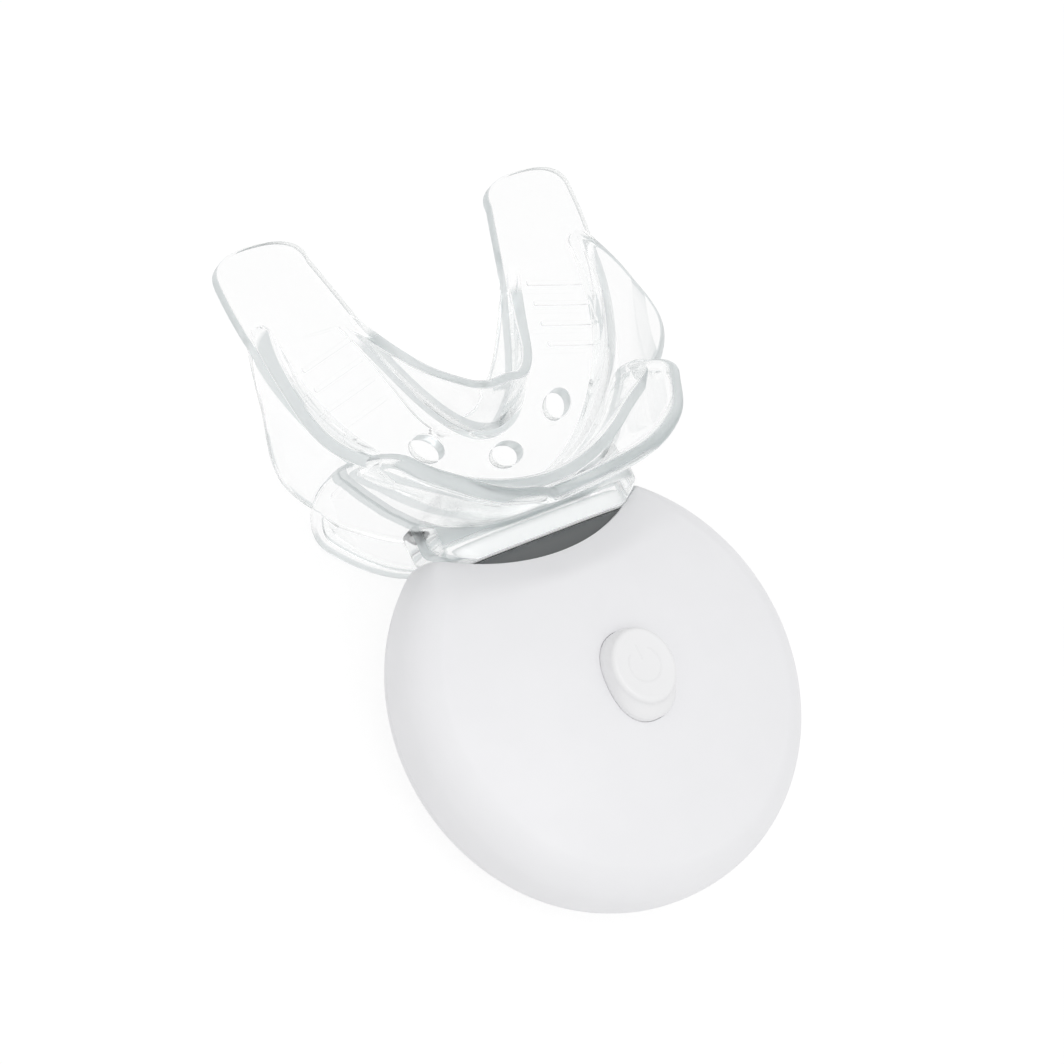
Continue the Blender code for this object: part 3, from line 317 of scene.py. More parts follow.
class CaseSizes(bpy.types.PropertyGroup):
    radius: length_prop("Radius", "Radius of the case", 31.5)
    height: length_prop("Height", "From the rear face to the middle of the dome", 18.4)
    dome_radius: length_prop("Dome radius", "Where the dome turns into the shoulder", 27.2)
    dome_drop: length_prop("Dome drop", "How far the dome falls to its edge", 3.7)
    wall: length_prop("Wall", "Wall thickness of both shells", 1.6)
    split: length_prop("Split", "Height of the joint between the shells", 5.0)
    rest_face: length_prop("Rest face", "Radius of the flat rear face", 20.5)
    cut_radius: length_prop("Cut radius", "Radius of the concave cut for the tray", 31.1)
    cut_reach: length_prop("Cut reach", "From the middle of the case to the bottom of the cut", 19.4)
    rim_height: length_prop("Rim height", "Height of the cut's rim in its middle", 14.9)
    shell_colour: colour_prop("Shell colour", "Colour of the moulded case", "#F1F1F3")
    # Painted shade: the collar's dark grey stands in for the shade in the gap between the tray's socket and
    # the cut's rim
    shade_collar_colour: colour_prop("Window colour", "Colour of the smoked collar of the nose", "#606364")
    lens_colour: colour_prop("Lens colour", "Colour of the opal lens at the nose's tip", "#F4F5F5")


class ButtonSizes(bpy.types.PropertyGroup):
    half_width: length_prop("Half width", "Half width of the neck", 5.0)
    half_length: length_prop("Half length", "Half length of the neck", 6.6)
    top_half_width: length_prop("Top half width", "Half width of the cap's top", 4.9)
    top_half_length: length_prop("Top half length", "Half length of the cap's top", 5.5)
    top_shift: length_prop("Top shift", "How far the cap's top sits towards the tray", 0.7)
    stand: length_prop("Stand", "How far the button stands above the dome's middle", 3.1)
    edge: length_prop("Edge", "Rounding of the cap's top edge", 0.7)
    mark: length_prop("Sign", "Radius of the power sign's ring", 2.5)
    colour: colour_prop("Colour", "Colour of the button", "#F2F2F3")
    # Painted shade: a touch darker than the cap, as if the sign lay in a groove
    sign_shade_colour: colour_prop("Sign colour", "Colour of the power sign", "#EFEFF0")


class BatterySizes(bpy.types.PropertyGroup):
    door_radius: length_prop("Door radius", "Radius of the battery door", 12.3)
    door_thickness: length_prop("Door thickness", "Thickness of the battery door", 1.2)
    well_radius: length_prop("Well radius", "Inner radius of the battery well", 11.2)
    cell_radius: length_prop("Cell radius", "Radius of the coin cells", 10.0)
    cell_height: length_prop("Cell height", "Height of the coin cells", 3.2)


class PartColours(bpy.types.PropertyGroup):
    board: colour_prop("Board", "Colour of the solder mask", "#1F5B3A")
    resin: colour_prop("LED resin", "Colour of the phosphor in the LEDs", "#F0DC74")
    reflector: colour_prop("Reflector", "Colour of the reflector", "#F4F4F2")
    component: colour_prop("Components", "Colour of the black mouldings", "#26272A")
    steel: colour_prop("Steel", "Colour of plated steel and drawn aluminium", "#C9CBCD")
    bronze: colour_prop("Bronze", "Colour of the battery contacts", "#C79A5B")
    rubber: colour_prop("Rubber", "Colour of the door's seal", "#2B2B2D")
    plunger: colour_prop("Plunger", "Colour of the switch's plunger", "#E9E2CF")


class StageLook(bpy.types.PropertyGroup):
    floor_colour: colour_prop("Floor", "Colour of the floor", "#FFFFFF")
    key_power: bpy.props.FloatProperty(name="Key", description="Power of the large soft lamp", default=0.8,
                                       min=0.0, unit="POWER")
    sky: bpy.props.FloatProperty(name="Sky", description="Strength of the even light from all round",
                                 default=0.80, min=0.0)
    horizon: bpy.props.FloatProperty(name="Horizon", default=0.7, min=0.0, description="Brightness of far "
                                     "surroundings in reflections and through clear material")


# Steps of modelling by hand

def deselect():
    if bpy.context.object and bpy.context.object.mode != "OBJECT":
        bpy.ops.object.mode_set(mode="OBJECT")
    bpy.ops.object.select_all(action="DESELECT")


def activate(*things):
    """Selects only these objects, with the first as the active one."""
    deselect()
    for thing in things:
        thing.select_set(True)
    bpy.context.view_layer.objects.active = things[0]
    return things[0]


def named(name):
    thing = bpy.context.object
    thing.name = name
    thing.data.name = name
    return thing


def settle(thing):
    """Moves an object's place, turn and scale into its mesh."""
    activate(thing)
    bpy.ops.object.transform_apply(location=True, rotation=True, scale=True)
    return thing


def combine(thing, operation, *others):
    """Joins the other objects to the thing, or cuts them from it, and removes them."""
    for other in others:
        activate(thing)
        modifier = thing.modifiers.new("Boolean", "BOOLEAN")
        modifier.operation = operation
        modifier.solver = "EXACT"
        modifier.object = other
        bpy.ops.object.modifier_apply(modifier=modifier.name)
        bpy.data.objects.remove(other)
    return thing


def joined(*things):
    """Makes the things one object, without merging their meshes."""
    activate(*things)
    bpy.ops.object.join()
    return things[0]


def clean(thing):
    """Merges doubled points and turns the faces outward."""
    activate(thing)
    bpy.ops.object.mode_set(mode="EDIT")
    bpy.ops.mesh.select_all(action="SELECT")
    bpy.ops.mesh.remove_doubles(threshold=MERGE_DISTANCE)
    bpy.ops.mesh.dissolve_degenerate(threshold=MERGE_DISTANCE / 4)
    bpy.ops.mesh.normals_make_consistent(inside=False)
    bpy.ops.object.mode_set(mode="OBJECT")
    return thing


def smooth(thing, degrees=38):
    """Shades a thing smooth, with edges sharper than an angle left sharp."""
    activate(thing)
    bpy.ops.object.shade_smooth_by_angle(angle=math.radians(degrees))
    return thing


def select_faces(thing, test):
    """In edit mode, selects the faces whose middle and normal pass a test."""
    bpy.ops.mesh.select_mode(type="FACE")
    bpy.ops.mesh.select_all(action="DESELECT")
    shape = bmesh.from_edit_mesh(thing.data)
    shape.normal_update()
    for face in shape.faces:
        face.select_set(test(face.calc_center_median(), face.normal))
    bmesh.update_edit_mesh(thing.data)


def cylinder(name, centre, radius, low, high, segments=SMALL_SEGMENTS):
    deselect()
    bpy.ops.mesh.primitive_cylinder_add(vertices=segments, radius=radius, depth=high - low,
                                        location=(centre[0], centre[1], (low + high) / 2))
    return settle(named(name))


def block(name, low, high, edge=0.0, segments=3):
    """A box between two corners, with its edges rounded."""
    deselect()
    middle = [(low[i] + high[i]) / 2 for i in range(3)]
    bpy.ops.mesh.primitive_cube_add(size=1.0, location=middle)
    thing = named(name)
    thing.scale = [high[i] - low[i] for i in range(3)]
    settle(thing)
    if edge:
        bpy.ops.object.mode_set(mode="EDIT")
        bpy.ops.mesh.select_all(action="SELECT")
        bpy.ops.mesh.bevel(offset=edge, segments=segments, profile=0.5, affect="EDGES")
        bpy.ops.object.mode_set(mode="OBJECT")
    return thing


def placed_grid(name, columns, rows, place):
    """A primitive grid whose points are moved to place(u, v), where u and v run from 0 to 1."""
    deselect()
    bpy.ops.mesh.primitive_grid_add(x_subdivisions=columns, y_subdivisions=rows, size=2.0)
    thing = named(name)
    for vertex in thing.data.vertices:
        vertex.co = place((vertex.co.x + 1) / 2, (vertex.co.y + 1) / 2)
    return clean(thing)


def ring_stack(name, rings, turns):
    """A skin through rings, each a function that gives the point at a turn. Rings listed twice close it."""
    last_ring, last_turn = len(rings) - 1, len(turns) - 1

    def place(u, v):
        return rings[round(v * last_ring)](turns[round(u * last_turn)])

    return placed_grid(name, last_turn, last_ring, place)


def even_turns(count):
    return [2 * math.pi * i / count for i in range(count + 1)]


def pole(*place):
    """A ring drawn together to one point, which closes a skin."""
    return lambda turn: place


def turned(name, profile, centre=(0, 0), segments=SMALL_SEGMENTS):
    """A turned solid from radius and height pairs. Its ends lie on the axis, or the profile is closed."""
    rings = [lambda turn, r=r, z=z: (centre[0] + r * math.cos(turn), centre[1] + r * math.sin(turn), z)
             for r, z in profile]
    return ring_stack(name, rings, even_turns(segments))


def copy_of(thing, name, shift, turn=0.0):
    """A copy with its own mesh, turned about the upright axis and moved by a shift."""
    activate(thing)
    bpy.ops.object.duplicate(linked=False)
    copy = shifted(named(name), shift)
    copy.rotation_euler = (0, 0, turn)
    return settle(copy)


def shifted(thing, shift):
    thing.location = shift
    return thing


def clamp(value, low=0.0):
    return max(low, min(1.0, value))


def eased(share):
    """A share from 0 to 1 that starts and ends gently."""
    return share * share * (3 - 2 * share)


def quarter_turns(steps):
    return [math.pi / 2 * i / steps for i in range(steps + 1)]


def rounding(radius, steps):
    """A rounded edge as pairs of inset and drop, from its side to its top."""
    return [(radius * (1 - math.cos(turn)), radius * (1 - math.sin(turn))) for turn in quarter_turns(steps)]


def bezier(points, count):
    """Points along a Bezier curve, both ends included."""
    degree = len(points) - 1
    result = []
    for step in range(count + 1):
        t = step / count
        total = Vector((0, 0))
        for index, point in enumerate(points):
            total += math.comb(degree, index) * (1 - t) ** (degree - index) * t ** index * Vector(point)
        result.append(total)
    return result


def smooth_value(shares, values, share):
    """Reads a table of values at a share, on a curve that is level at the front and never overshoots."""
    if share >= shares[-1]:
        return values[-1]
    share = max(share, 0.0)
    slopes = [(high - low) / (end - start)
              for low, high, start, end in zip(values, values[1:], shares, shares[1:])]
    middle = [2 * a * b / (a + b) if a * b > 0 else 0.0 for a, b in zip(slopes, slopes[1:])]
    bends = [0.0, *middle, slopes[-1]]
    index = max(i for i, start in enumerate(shares[:-1]) if start <= share)
    width = shares[index + 1] - shares[index]
    t = (share - shares[index]) / width
    rise = eased(t)
    start, end = bends[index] * t * (1 - t) ** 2, bends[index + 1] * t * t * (t - 1)
    return values[index] * (1 - rise) + values[index + 1] * rise + (start + end) * width


def oval_point(half, power, turn):
    """A point of a rounded rectangle, by its angle on the superellipse."""
    cos, sin = math.cos(turn), math.sin(turn)
    return (math.copysign(abs(cos) ** (2 / power), cos) * half[0],
            math.copysign(abs(sin) ** (2 / power), sin) * half[1])


def oval_reach(half, power, x, y):
    """How far a rounded rectangle reaches from its middle, in the direction (x, y)."""
    return ((abs(x) / half[0]) ** power + (abs(y) / half[1]) ** power) ** (-1 / power)


def oval_ring(half, power, middle, height):
    """A level ring of a rounded rectangle, with its middle on the object's centre line."""
    def point(turn):
        x, y = oval_point(half, power, turn)
        return (x, middle + y, height)
    return point


def lesser(a, b, width):
    """The lesser of two lengths, rounded where they meet."""
    blend = clamp(0.5 + 0.5 * (b - a) / width)
    return b * (1 - blend) + a * blend - width * blend * (1 - blend)


# Finishes

def new_surface(name, colour, ior=1.5, **inputs):
    """A material with its Principled shader's colour, index of refraction and other inputs set."""
    surface = bpy.data.materials.new(name)
    surface.use_nodes = True
    shader = shader_of(surface)
    shader.inputs["Base Color"].default_value = (*colour, 1.0)
    shader.inputs["IOR"].default_value = ior
    set_shader(surface, **inputs)
    return surface


def feed(surface, socket, value):
    """Gives an input a value, or a link from a socket or from a node's first output."""
    if isinstance(value, bpy.types.Node):
        value = value.outputs[0]
    if isinstance(value, bpy.types.NodeSocket):
        surface.node_tree.links.new(value, socket)
    else:
        socket.default_value = value


def add_node(surface, kind, inputs=None, **settings):
    """Adds a node to a material or world, with its settings, and feeds its inputs."""
    node = surface.node_tree.nodes.new(kind)
    for key, value in settings.items():
        setattr(node, key, value)
    for key, value in (inputs or {}).items():
        feed(surface, node.inputs[key], value)
    return node


def shader_of(surface):
    return surface.node_tree.nodes["Principled BSDF"]


def set_shader(surface, **inputs):
    """Feeds inputs of a material's Principled shader, named in small letters."""
    for key, value in inputs.items():
        feed(surface, shader_of(surface).inputs[key.replace("_", " ").title()], value)


def per(millimetres):
    """The scale of a noise texture whose features have this size."""
    return 1 / (millimetres * MM)


def between(low, high):
    """Limits of a Map Range node: where a mask is 0, and where it is 1."""
    return {"From Min": low, "From Max": high}


def grained(surface, grain, relief, roughness, dark=0.97):
    """Gives a finish its grain, by size and relief in mm, and slow changes of roughness and shade."""
    point = add_node(surface, "ShaderNodeTexCoord").outputs["Object"]
    fine = add_node(surface, "ShaderNodeTexNoise", {"Vector": point, "Scale": per(grain), "Detail": 3.0})
    slow = add_node(surface, "ShaderNodeTexNoise", {"Vector": point, "Scale": per(PATCH), "Detail": 2.0})
    slow = slow.outputs["Fac"]
    rough = add_node(surface, "ShaderNodeMapRange",
                     {"Value": slow, **between(*NOISE_RANGE), "To Min": roughness[0],
                      "To Max": roughness[1]})
    bump = add_node(surface, "ShaderNodeBump",
                    {"Height": fine.outputs["Fac"], "Strength": 1.0, "Distance": relief * MM})
    colour = tuple(shader_of(surface).inputs["Base Color"].default_value)
    darker = (*(c * dark for c in colour[:3]), 1.0)
    shade = add_node(surface, "ShaderNodeMix", {0: slow, 6: colour, 7: darker}, data_type="RGBA")
    set_shader(surface, base_color=shade.outputs[2], roughness=rough, normal=bump)
    return surface


def moulded(name, colour, ior, grain, relief, roughness):
    """A plastic or rubber with the grain of the tool that it was moulded in."""
    return grained(new_surface(name, colour, ior), grain, relief, roughness)


def shield_bead_mask(surface, x, y, normal):
    """1 on the rolled rim of the lip shield, where the skin turns away from the shield's own facing."""
    across = add_node(surface, "ShaderNodeMath", {0: x}, operation="ABSOLUTE")
    share = add_node(surface, "ShaderNodeMath", {0: across, 1: SHIELD_HALF_WIDTH}, operation="DIVIDE")
    sweep = add_node(surface, "ShaderNodeMath", {0: share, 1: SHIELD_SWEEP_POWER}, operation="POWER")
    middle = add_node(surface, "ShaderNodeMath",
                      {0: sweep, 1: SHIELD_SWEEP, 2: ARCH_FRONT - SHIELD_FRONT}, operation="MULTIPLY_ADD")
    away = add_node(surface, "ShaderNodeMath", {0: y, 1: middle}, operation="SUBTRACT")
    distance = add_node(surface, "ShaderNodeMath", {0: away}, operation="ABSOLUTE")
    near = add_node(surface, "ShaderNodeMapRange", {"Value": distance, **between(*BEAD_NEAR)})
    bend = add_node(surface, "ShaderNodeMath", {0: share, 1: SHIELD_SWEEP_POWER - 1}, operation="POWER")
    steepness = SHIELD_SWEEP * SHIELD_SWEEP_POWER / SHIELD_HALF_WIDTH
    slope = add_node(surface, "ShaderNodeMath", {0: bend, 1: steepness}, operation="MULTIPLY")
    hand = add_node(surface, "ShaderNodeMath", {0: x}, operation="SIGN")
    lean = add_node(surface, "ShaderNodeMath", {0: slope, 1: hand}, operation="MULTIPLY")
    facing = add_node(surface, "ShaderNodeCombineXYZ", {"X": lean, "Y": -1.0})
    unit = add_node(surface, "ShaderNodeVectorMath", {0: facing}, operation="NORMALIZE")
    along = add_node(surface, "ShaderNodeVectorMath", {0: unit, 1: normal}, operation="DOT_PRODUCT")
    straight = add_node(surface, "ShaderNodeMath", {0: along.outputs["Value"]}, operation="ABSOLUTE")
    rolled = add_node(surface, "ShaderNodeMapRange", {"Value": straight, **between(*BEAD_TURNED)})
    return add_node(surface, "ShaderNodeMath", {0: near, 1: rolled}, operation="MULTIPLY")


def wall_and_plate_mask(surface, x, y, z, normal):
    """1 on the flat-topped rims of the tray's walls and on the sides of its plate. The rims of the flared
    outer walls face up and outward, and those of the inner walls face up."""
    facing = add_node(surface, "ShaderNodeSeparateXYZ", {"Vector": normal}).outputs["Z"]
    above = add_node(surface, "ShaderNodeMath", {0: z, 1: BITE_HEIGHT}, operation="SUBTRACT")
    away = add_node(surface, "ShaderNodeMath", {0: above}, operation="ABSOLUTE")
    clear_of_plate = add_node(surface, "ShaderNodeMapRange", {"Value": away, **between(*RIM_CLEAR)})
    past_socket = add_node(surface, "ShaderNodeMapRange", {"Value": y, **between(*RIM_PAST_SOCKET)})
    raised = add_node(surface, "ShaderNodeMath", {0: clear_of_plate, 1: past_socket}, operation="MULTIPLY")
    upright = add_node(surface, "ShaderNodeMath", {0: facing}, operation="ABSOLUTE")
    level = add_node(surface, "ShaderNodeMapRange", {"Value": upright, **between(*RIM_LEVEL)})
    side = add_node(surface, "ShaderNodeMath", {0: above}, operation="SIGN")
    up = add_node(surface, "ShaderNodeMath", {0: facing, 1: side}, operation="MULTIPLY")
    behind = add_node(surface, "ShaderNodeMath", {0: y, 1: ARCH_CENTRE}, operation="SUBTRACT")
    spoke = add_node(surface, "ShaderNodeCombineXYZ", {"X": x, "Y": behind})
    unit = add_node(surface, "ShaderNodeVectorMath", {0: spoke}, operation="NORMALIZE")
    outward = add_node(surface, "ShaderNodeVectorMath", {0: unit, 1: normal}, operation="DOT_PRODUCT")
    lifted = add_node(surface, "ShaderNodeMath",
                      {0: outward.outputs["Value"], 1: RIM_OUTWARD_SHARE, 2: up}, operation="MULTIPLY_ADD")
    flared = add_node(surface, "ShaderNodeMapRange", {"Value": lifted, **between(*RIM_FLARED)})
    squared = add_node(surface, "ShaderNodeMath", {0: x, 1: x}, operation="MULTIPLY")
    middle = add_node(surface, "ShaderNodeMath",
                      {0: squared, 1: OUTER_SIDE[0], 2: OUTER_SIDE[1]}, operation="MULTIPLY_ADD")
    outer = add_node(surface, "ShaderNodeMath", {0: y, 1: middle}, operation="LESS_THAN")
    top = add_node(surface, "ShaderNodeMix", {0: outer, 2: level, 3: flared}, data_type="FLOAT")
    rim = add_node(surface, "ShaderNodeMath", {0: top, 1: raised}, operation="MULTIPLY")
    steep = add_node(surface, "ShaderNodeMapRange", {"Value": upright, **between(*PLATE_SIDE_STEEP)})
    at_plate = add_node(surface, "ShaderNodeMath", {0: away, 1: PLATE_SIDE_HALF}, operation="LESS_THAN")
    return add_node(surface, "ShaderNodeMath", {0: steep, 1: at_plate, 2: rim}, operation="MULTIPLY_ADD")


def clear_elastomer(look):
    """Clear silicone, moulded in a polished tool: it bends what is behind it, shines softly, and thick
    places take a faint grey-green tint. Its rims and the plate's sides are satin and carry a grey tint
    that is painted shade, so that they show as pale grey bands. Lamps shine through it, so that it throws
    little shade, and light that has crossed several walls goes straight on."""
    surface = new_surface("clear_silicone", look.tint, 1.41, transmission_weight=1.0)
    place = add_node(surface, "ShaderNodeTexCoord")
    point, normal = place.outputs["Object"], place.outputs["Normal"]
    wave = add_node(surface, "ShaderNodeTexNoise", {"Vector": point, "Scale": per(PATCH), "Detail": 1.0})
    bump = add_node(surface, "ShaderNodeBump",
                    {"Height": wave.outputs["Fac"], "Strength": 1.0, "Distance": 0.03 * MM})
    x, y, z = add_node(surface, "ShaderNodeSeparateXYZ", {"Vector": point}).outputs
    rims = wall_and_plate_mask(surface, x, y, z, normal)
    bead = shield_bead_mask(surface, x, y, normal)
    satin = add_node(surface, "ShaderNodeMath", {0: rims, 1: bead}, operation="MAXIMUM")
    rough = add_node(surface, "ShaderNodeMapRange",
                     {"Value": satin, "To Min": TRAY_ROUGHNESS[0], "To Max": TRAY_ROUGHNESS[1]})
    # Painted shade: the satin places take the grey rim tint, so that they show as pale grey bands
    tint = add_node(surface, "ShaderNodeMix",
                    {0: satin, 6: (*look.tint, 1.0), 7: (*look.rim_shade_tint, 1.0)}, data_type="RGBA")
    set_shader(surface, normal=bump, roughness=rough, base_color=tint.outputs[2])
    rays = add_node(surface, "ShaderNodeLightPath")
    deep = add_node(surface, "ShaderNodeMath",
                    {0: rays.outputs["Ray Depth"], 1: TRAY_DEEPEST_RAY}, operation="GREATER_THAN")
    straight_on = add_node(surface, "ShaderNodeBsdfTransparent")
    seen = add_node(surface, "ShaderNodeMixShader", {"Fac": deep, 1: shader_of(surface), 2: straight_on})
    shade = add_node(surface, "ShaderNodeBsdfTransparent", {"Color": TRAY_SHADE})
    mix = add_node(surface, "ShaderNodeMixShader",
                   {"Fac": rays.outputs["Is Shadow Ray"], 1: seen, 2: shade})
    inside = add_node(surface, "ShaderNodeVolumeAbsorption",
                      {"Color": (*look.depth_tint, 1.0), "Density": TRAY_DENSITY})
    output = surface.node_tree.nodes["Material Output"]
    feed(surface, output.inputs["Surface"], mix)
    feed(surface, output.inputs["Volume"], inside)
    return surface


def satin_abs(name, colour, roughness=(0.34, 0.42)):
    """White ABS, moulded in a finely blasted tool: an even satin with no clear reflections."""
    return moulded(name, colour, 1.53, 0.25, 0.004, roughness)


def metal(name, colour, grain, roughness):
    """A plated, drawn or rolled metal: bright, with its fine grain and slightly duller patches."""
    return grained(new_surface(name, colour, metallic=1.0), grain, 0.001, roughness, dark=0.93)


def solder_mask(colour):
    """Green lacquer over copper, glossy enough to catch the light: the traces under it show as paler lines,
    and the glass weave of the board as a faint relief."""
    surface = new_surface("solder_mask", colour, 1.55)
    point = add_node(surface, "ShaderNodeTexCoord").outputs["Object"]
    pale = (*(min(1.0, 1.6 * c + 0.01) for c in colour), 1.0)
    dark = (*(0.8 * c for c in colour), 1.0)
    traces = add_node(surface, "ShaderNodeTexBrick",
                      {"Vector": point, "Color1": (*colour, 1.0), "Color2": dark, "Mortar": pale,
                       "Scale": per(3.0), "Mortar Size": 0.03, "Mortar Smooth": 0.1},
                      offset=0.37, offset_frequency=3)
    weave = add_node(surface, "ShaderNodeTexChecker", {"Vector": point, "Scale": per(0.5)})
    blotch = add_node(surface, "ShaderNodeTexNoise", {"Vector": point, "Scale": per(2.5)})
    rough = add_node(surface, "ShaderNodeMapRange",
                     {"Value": blotch.outputs["Fac"], "To Min": 0.18, "To Max": 0.34})
    bump = add_node(surface, "ShaderNodeBump", {"Height": weave.outputs["Fac"], "Distance": 0.004 * MM})
    set_shader(surface, base_color=traces.outputs["Color"], roughness=rough, normal=bump)
    return surface


# Case

def dome_height(case, radius):
    return case.height - case.dome_drop * (radius / case.dome_radius) ** 2


def cut_at(case, height):
    """Radius of the concave cut at a height: upright, and flared towards the rear face."""
    share = clamp((REAR_RIM_HEIGHT - height) / REAR_RIM_HEIGHT)
    return case.cut_radius + REAR_ROLL_WIDTH * (1 - math.sqrt(1 - share * share))


def facet_height(case, x, y):
    """Height of the slope that falls from the dome to the cut's rim, flatter and lower at the horns."""
    cut_y = case.cut_reach + case.cut_radius - math.sqrt(max(0.0, case.cut_radius ** 2 - x * x))
    share = min(FACET_SHARE_LIMIT, (x / HORN_X) ** 2)
    rim = case.rim_height - FACET_DROP * share
    slope = FACET_SLOPE[0] + (FACET_SLOPE[1] - FACET_SLOPE[0]) * share
    return rim + slope * (cut_y - y)


def case_ring(case, radius, height, inset=0.0):
    """One ring of a shell's skin: a circle with the concave cut taken out of its front, under the facet."""
    cut = cut_at(case, height - inset) + inset
    middle = case.cut_reach + case.cut_radius

    def point(turn):
        sin, cos = math.sin(turn), math.cos(turn)
        reach = radius
        under = cut * cut - (middle * sin) ** 2
        if under > 0 and cos > 0:
            reach = lesser(radius, middle * cos - math.sqrt(under), HORN_ROUND)
        x, y = reach * sin, reach * cos
        return (x, y, lesser(height, facet_height(case, x, y) - FACET_INSET * inset, FACET_EASE))

    return point


def case_turns():
    """Angles from the cut's middle all round the case, close together at the horns."""
    half = [math.radians(start + (end - start) * i / steps)
            for start, end, steps in CASE_TURNS for i in range(steps)] + [math.pi]
    return [-turn for turn in reversed(half[1:])] + half


def hole_ring(case, grow, drop, inset=0.0):
    """A ring along the button's hole, a little wider than it, below the dome's skin by a drop."""
    def point(turn):
        sin, cos = math.sin(turn), math.cos(turn)
        reach = oval_reach((HOLE_HALF[0] + grow, HOLE_HALF[1] + grow), HOLE_POWER, sin, cos)
        x, y = reach * sin, BUTTON_Y + reach * cos
        return (x, y, dome_height(case, math.hypot(x, y)) - drop - inset)
    return point


def spread_ring(case, share, inset=0.0):
    """A ring part of the way from the button's hole to a circle on the dome."""
    inner = hole_ring(case, HOLE_SPREAD, 0.0)

    def point(turn):
        near = Vector(inner(turn))
        x = near.x + (HOLE_BLEND_RADIUS * math.sin(turn) - near.x) * share
        y = near.y + (HOLE_BLEND_RADIUS * math.cos(turn) - near.y) * share
        return (x, y, dome_height(case, math.hypot(x, y)) - inset)
    return point


def dome_profile(case, inset, steps):
    """Radius and height from the dome down the shoulder and side to the equator."""
    dome = []
    for index in range(steps):
        radius = DOME_START + (case.dome_radius - DOME_START) * index / steps
        dome.append((radius, dome_height(case, radius) - inset))
    edge = case.height - case.dome_drop
    shoulder = bezier([(case.dome_radius - inset / 2, edge - inset),
                       (case.radius - SHOULDER_INSET - inset, SHOULDER_HEIGHT - SHOULDER_SINK - inset),
                       (case.radius - SIDE_INSET - inset, SIDE_HEIGHT - inset)], 20)
    side = bezier([(case.radius - SIDE_INSET - inset, SIDE_HEIGHT - inset),
                   (case.radius - inset, (SIDE_HEIGHT + EQUATOR_HEIGHT) / 2),
                   (case.radius - inset, EQUATOR_HEIGHT)], 5)
    return dome + [tuple(p) for p in shoulder] + [tuple(p) for p in side[1:]]


def screw_centres():
    return [(SCREW_ORBIT * math.cos(angle), SCREW_ORBIT * math.sin(angle)) for angle in SCREW_ANGLES]


def make_upper_shell(case):
    """Domed half: button hole, dome, shoulder, cut and side outside, and the hollow inside."""
    wall = case.wall
    bottom = case.split + FIT_GAP / 2
    rings = [hole_ring(case, 0.0, wall * HOLE_DEPTH_SHARE)]
    rings += [hole_ring(case, grow, drop) for grow, drop in HOLE_EDGE]
    rings += [spread_ring(case, share) for share in (0.1, 0.25, 0.4, 0.6, 0.8)]
    rings += [case_ring(case, *level) for level in dome_profile(case, 0.0, 40)]
    rings += [case_ring(case, case.radius - inset, bottom + rise) for inset, rise in SKIRT]
    rings.append(case_ring(case, case.radius - wall, bottom, wall))
    rings += [case_ring(case, *level, wall) for level in reversed(dome_profile(case, wall, 12))]
    rings += [spread_ring(case, share, wall) for share in (0.7, 0.3, 0.1)]
    rings.append(rings[0])
    shell = ring_stack("upper_shell", rings, case_turns())
    start, end = NOSE_SLOT
    slot = [pole(0, start, SOCKET_HEIGHT), nose_ring(SEEN_GAP, start), nose_ring(SEEN_GAP, end),
            pole(0, end, SOCKET_HEIGHT)]
    combine(shell, "DIFFERENCE", ring_stack("nose_slot", slot, even_turns(SLOT_SEGMENTS)))
    for centre in screw_centres():
        top = dome_height(case, SCREW_ORBIT) - wall / 2
        post = cylinder("post", centre, SCREW_POST, bottom + 0.4 * MM, top)
        combine(post, "DIFFERENCE", cylinder("pilot", centre, SCREW_PILOT, 0, SCREW_TIP + FIT_GAP, 24))
        combine(shell, "UNION", post)
    return smooth(shell)


def make_lower_shell(case, battery):
    """Rear half: battery well, seat and door recess in one loop with the hollow and the outer skin."""
    wall = case.wall
    top = case.split - FIT_GAP / 2
    door = battery.door_radius + FIT_GAP
    well, corner = battery.well_radius, WELL_CORNER
    loop = [(door, 0.25 * MM), (door, SEAT_HEIGHT), (well + 0.15 * MM, SEAT_HEIGHT),
            (well, SEAT_HEIGHT + 0.15 * MM), (well, WELL_TOP - corner), (well + corner, WELL_TOP),
            (well + wall - corner, WELL_TOP), (well + wall, WELL_TOP - corner),
            (well + wall, wall + 0.5 * MM), (well + wall + 0.5 * MM, wall)]
    rings = [case_ring(case, *level) for level in loop]
    outer = case.radius - SPLIT_INSET
    skin = bezier([(outer, top - 0.35 * MM), (outer, top / 3), (case.radius - REAR_CORNER_INSET, 0),
                   (case.rest_face, 0)], 26)
    inner = bezier([(outer - wall, top), (outer - wall, (top + wall) / 3),
                    (case.radius - REAR_CORNER_INSET - wall, wall), (case.rest_face, wall)], 10)
    rings += [case_ring(case, *p, wall) for p in reversed(inner)]
    rings += [case_ring(case, outer - 0.25 * MM, top), case_ring(case, outer - 0.07 * MM, top - 0.08 * MM)]
    rings += [case_ring(case, *p) for p in skin]
    rings += [case_ring(case, radius, 0.0) for radius in (*REAR_RINGS, door + 0.6 * MM, door + 0.25 * MM)]
    rings += [case_ring(case, door + DOOR_EASE, DOOR_EASE), rings[0]]
    shell = ring_stack("lower_shell", rings, case_turns())
    for centre in screw_centres():
        combine(shell, "UNION", cylinder("boss", centre, SCREW_BOSS, wall / 2, top))
        combine(shell, "DIFFERENCE", screw_bore(centre, top))
    notch = cylinder("notch", (0, -door), NOTCH_RADIUS, -OVERRUN, battery.door_thickness / 2)
    return smooth(combine(shell, "DIFFERENCE", notch))


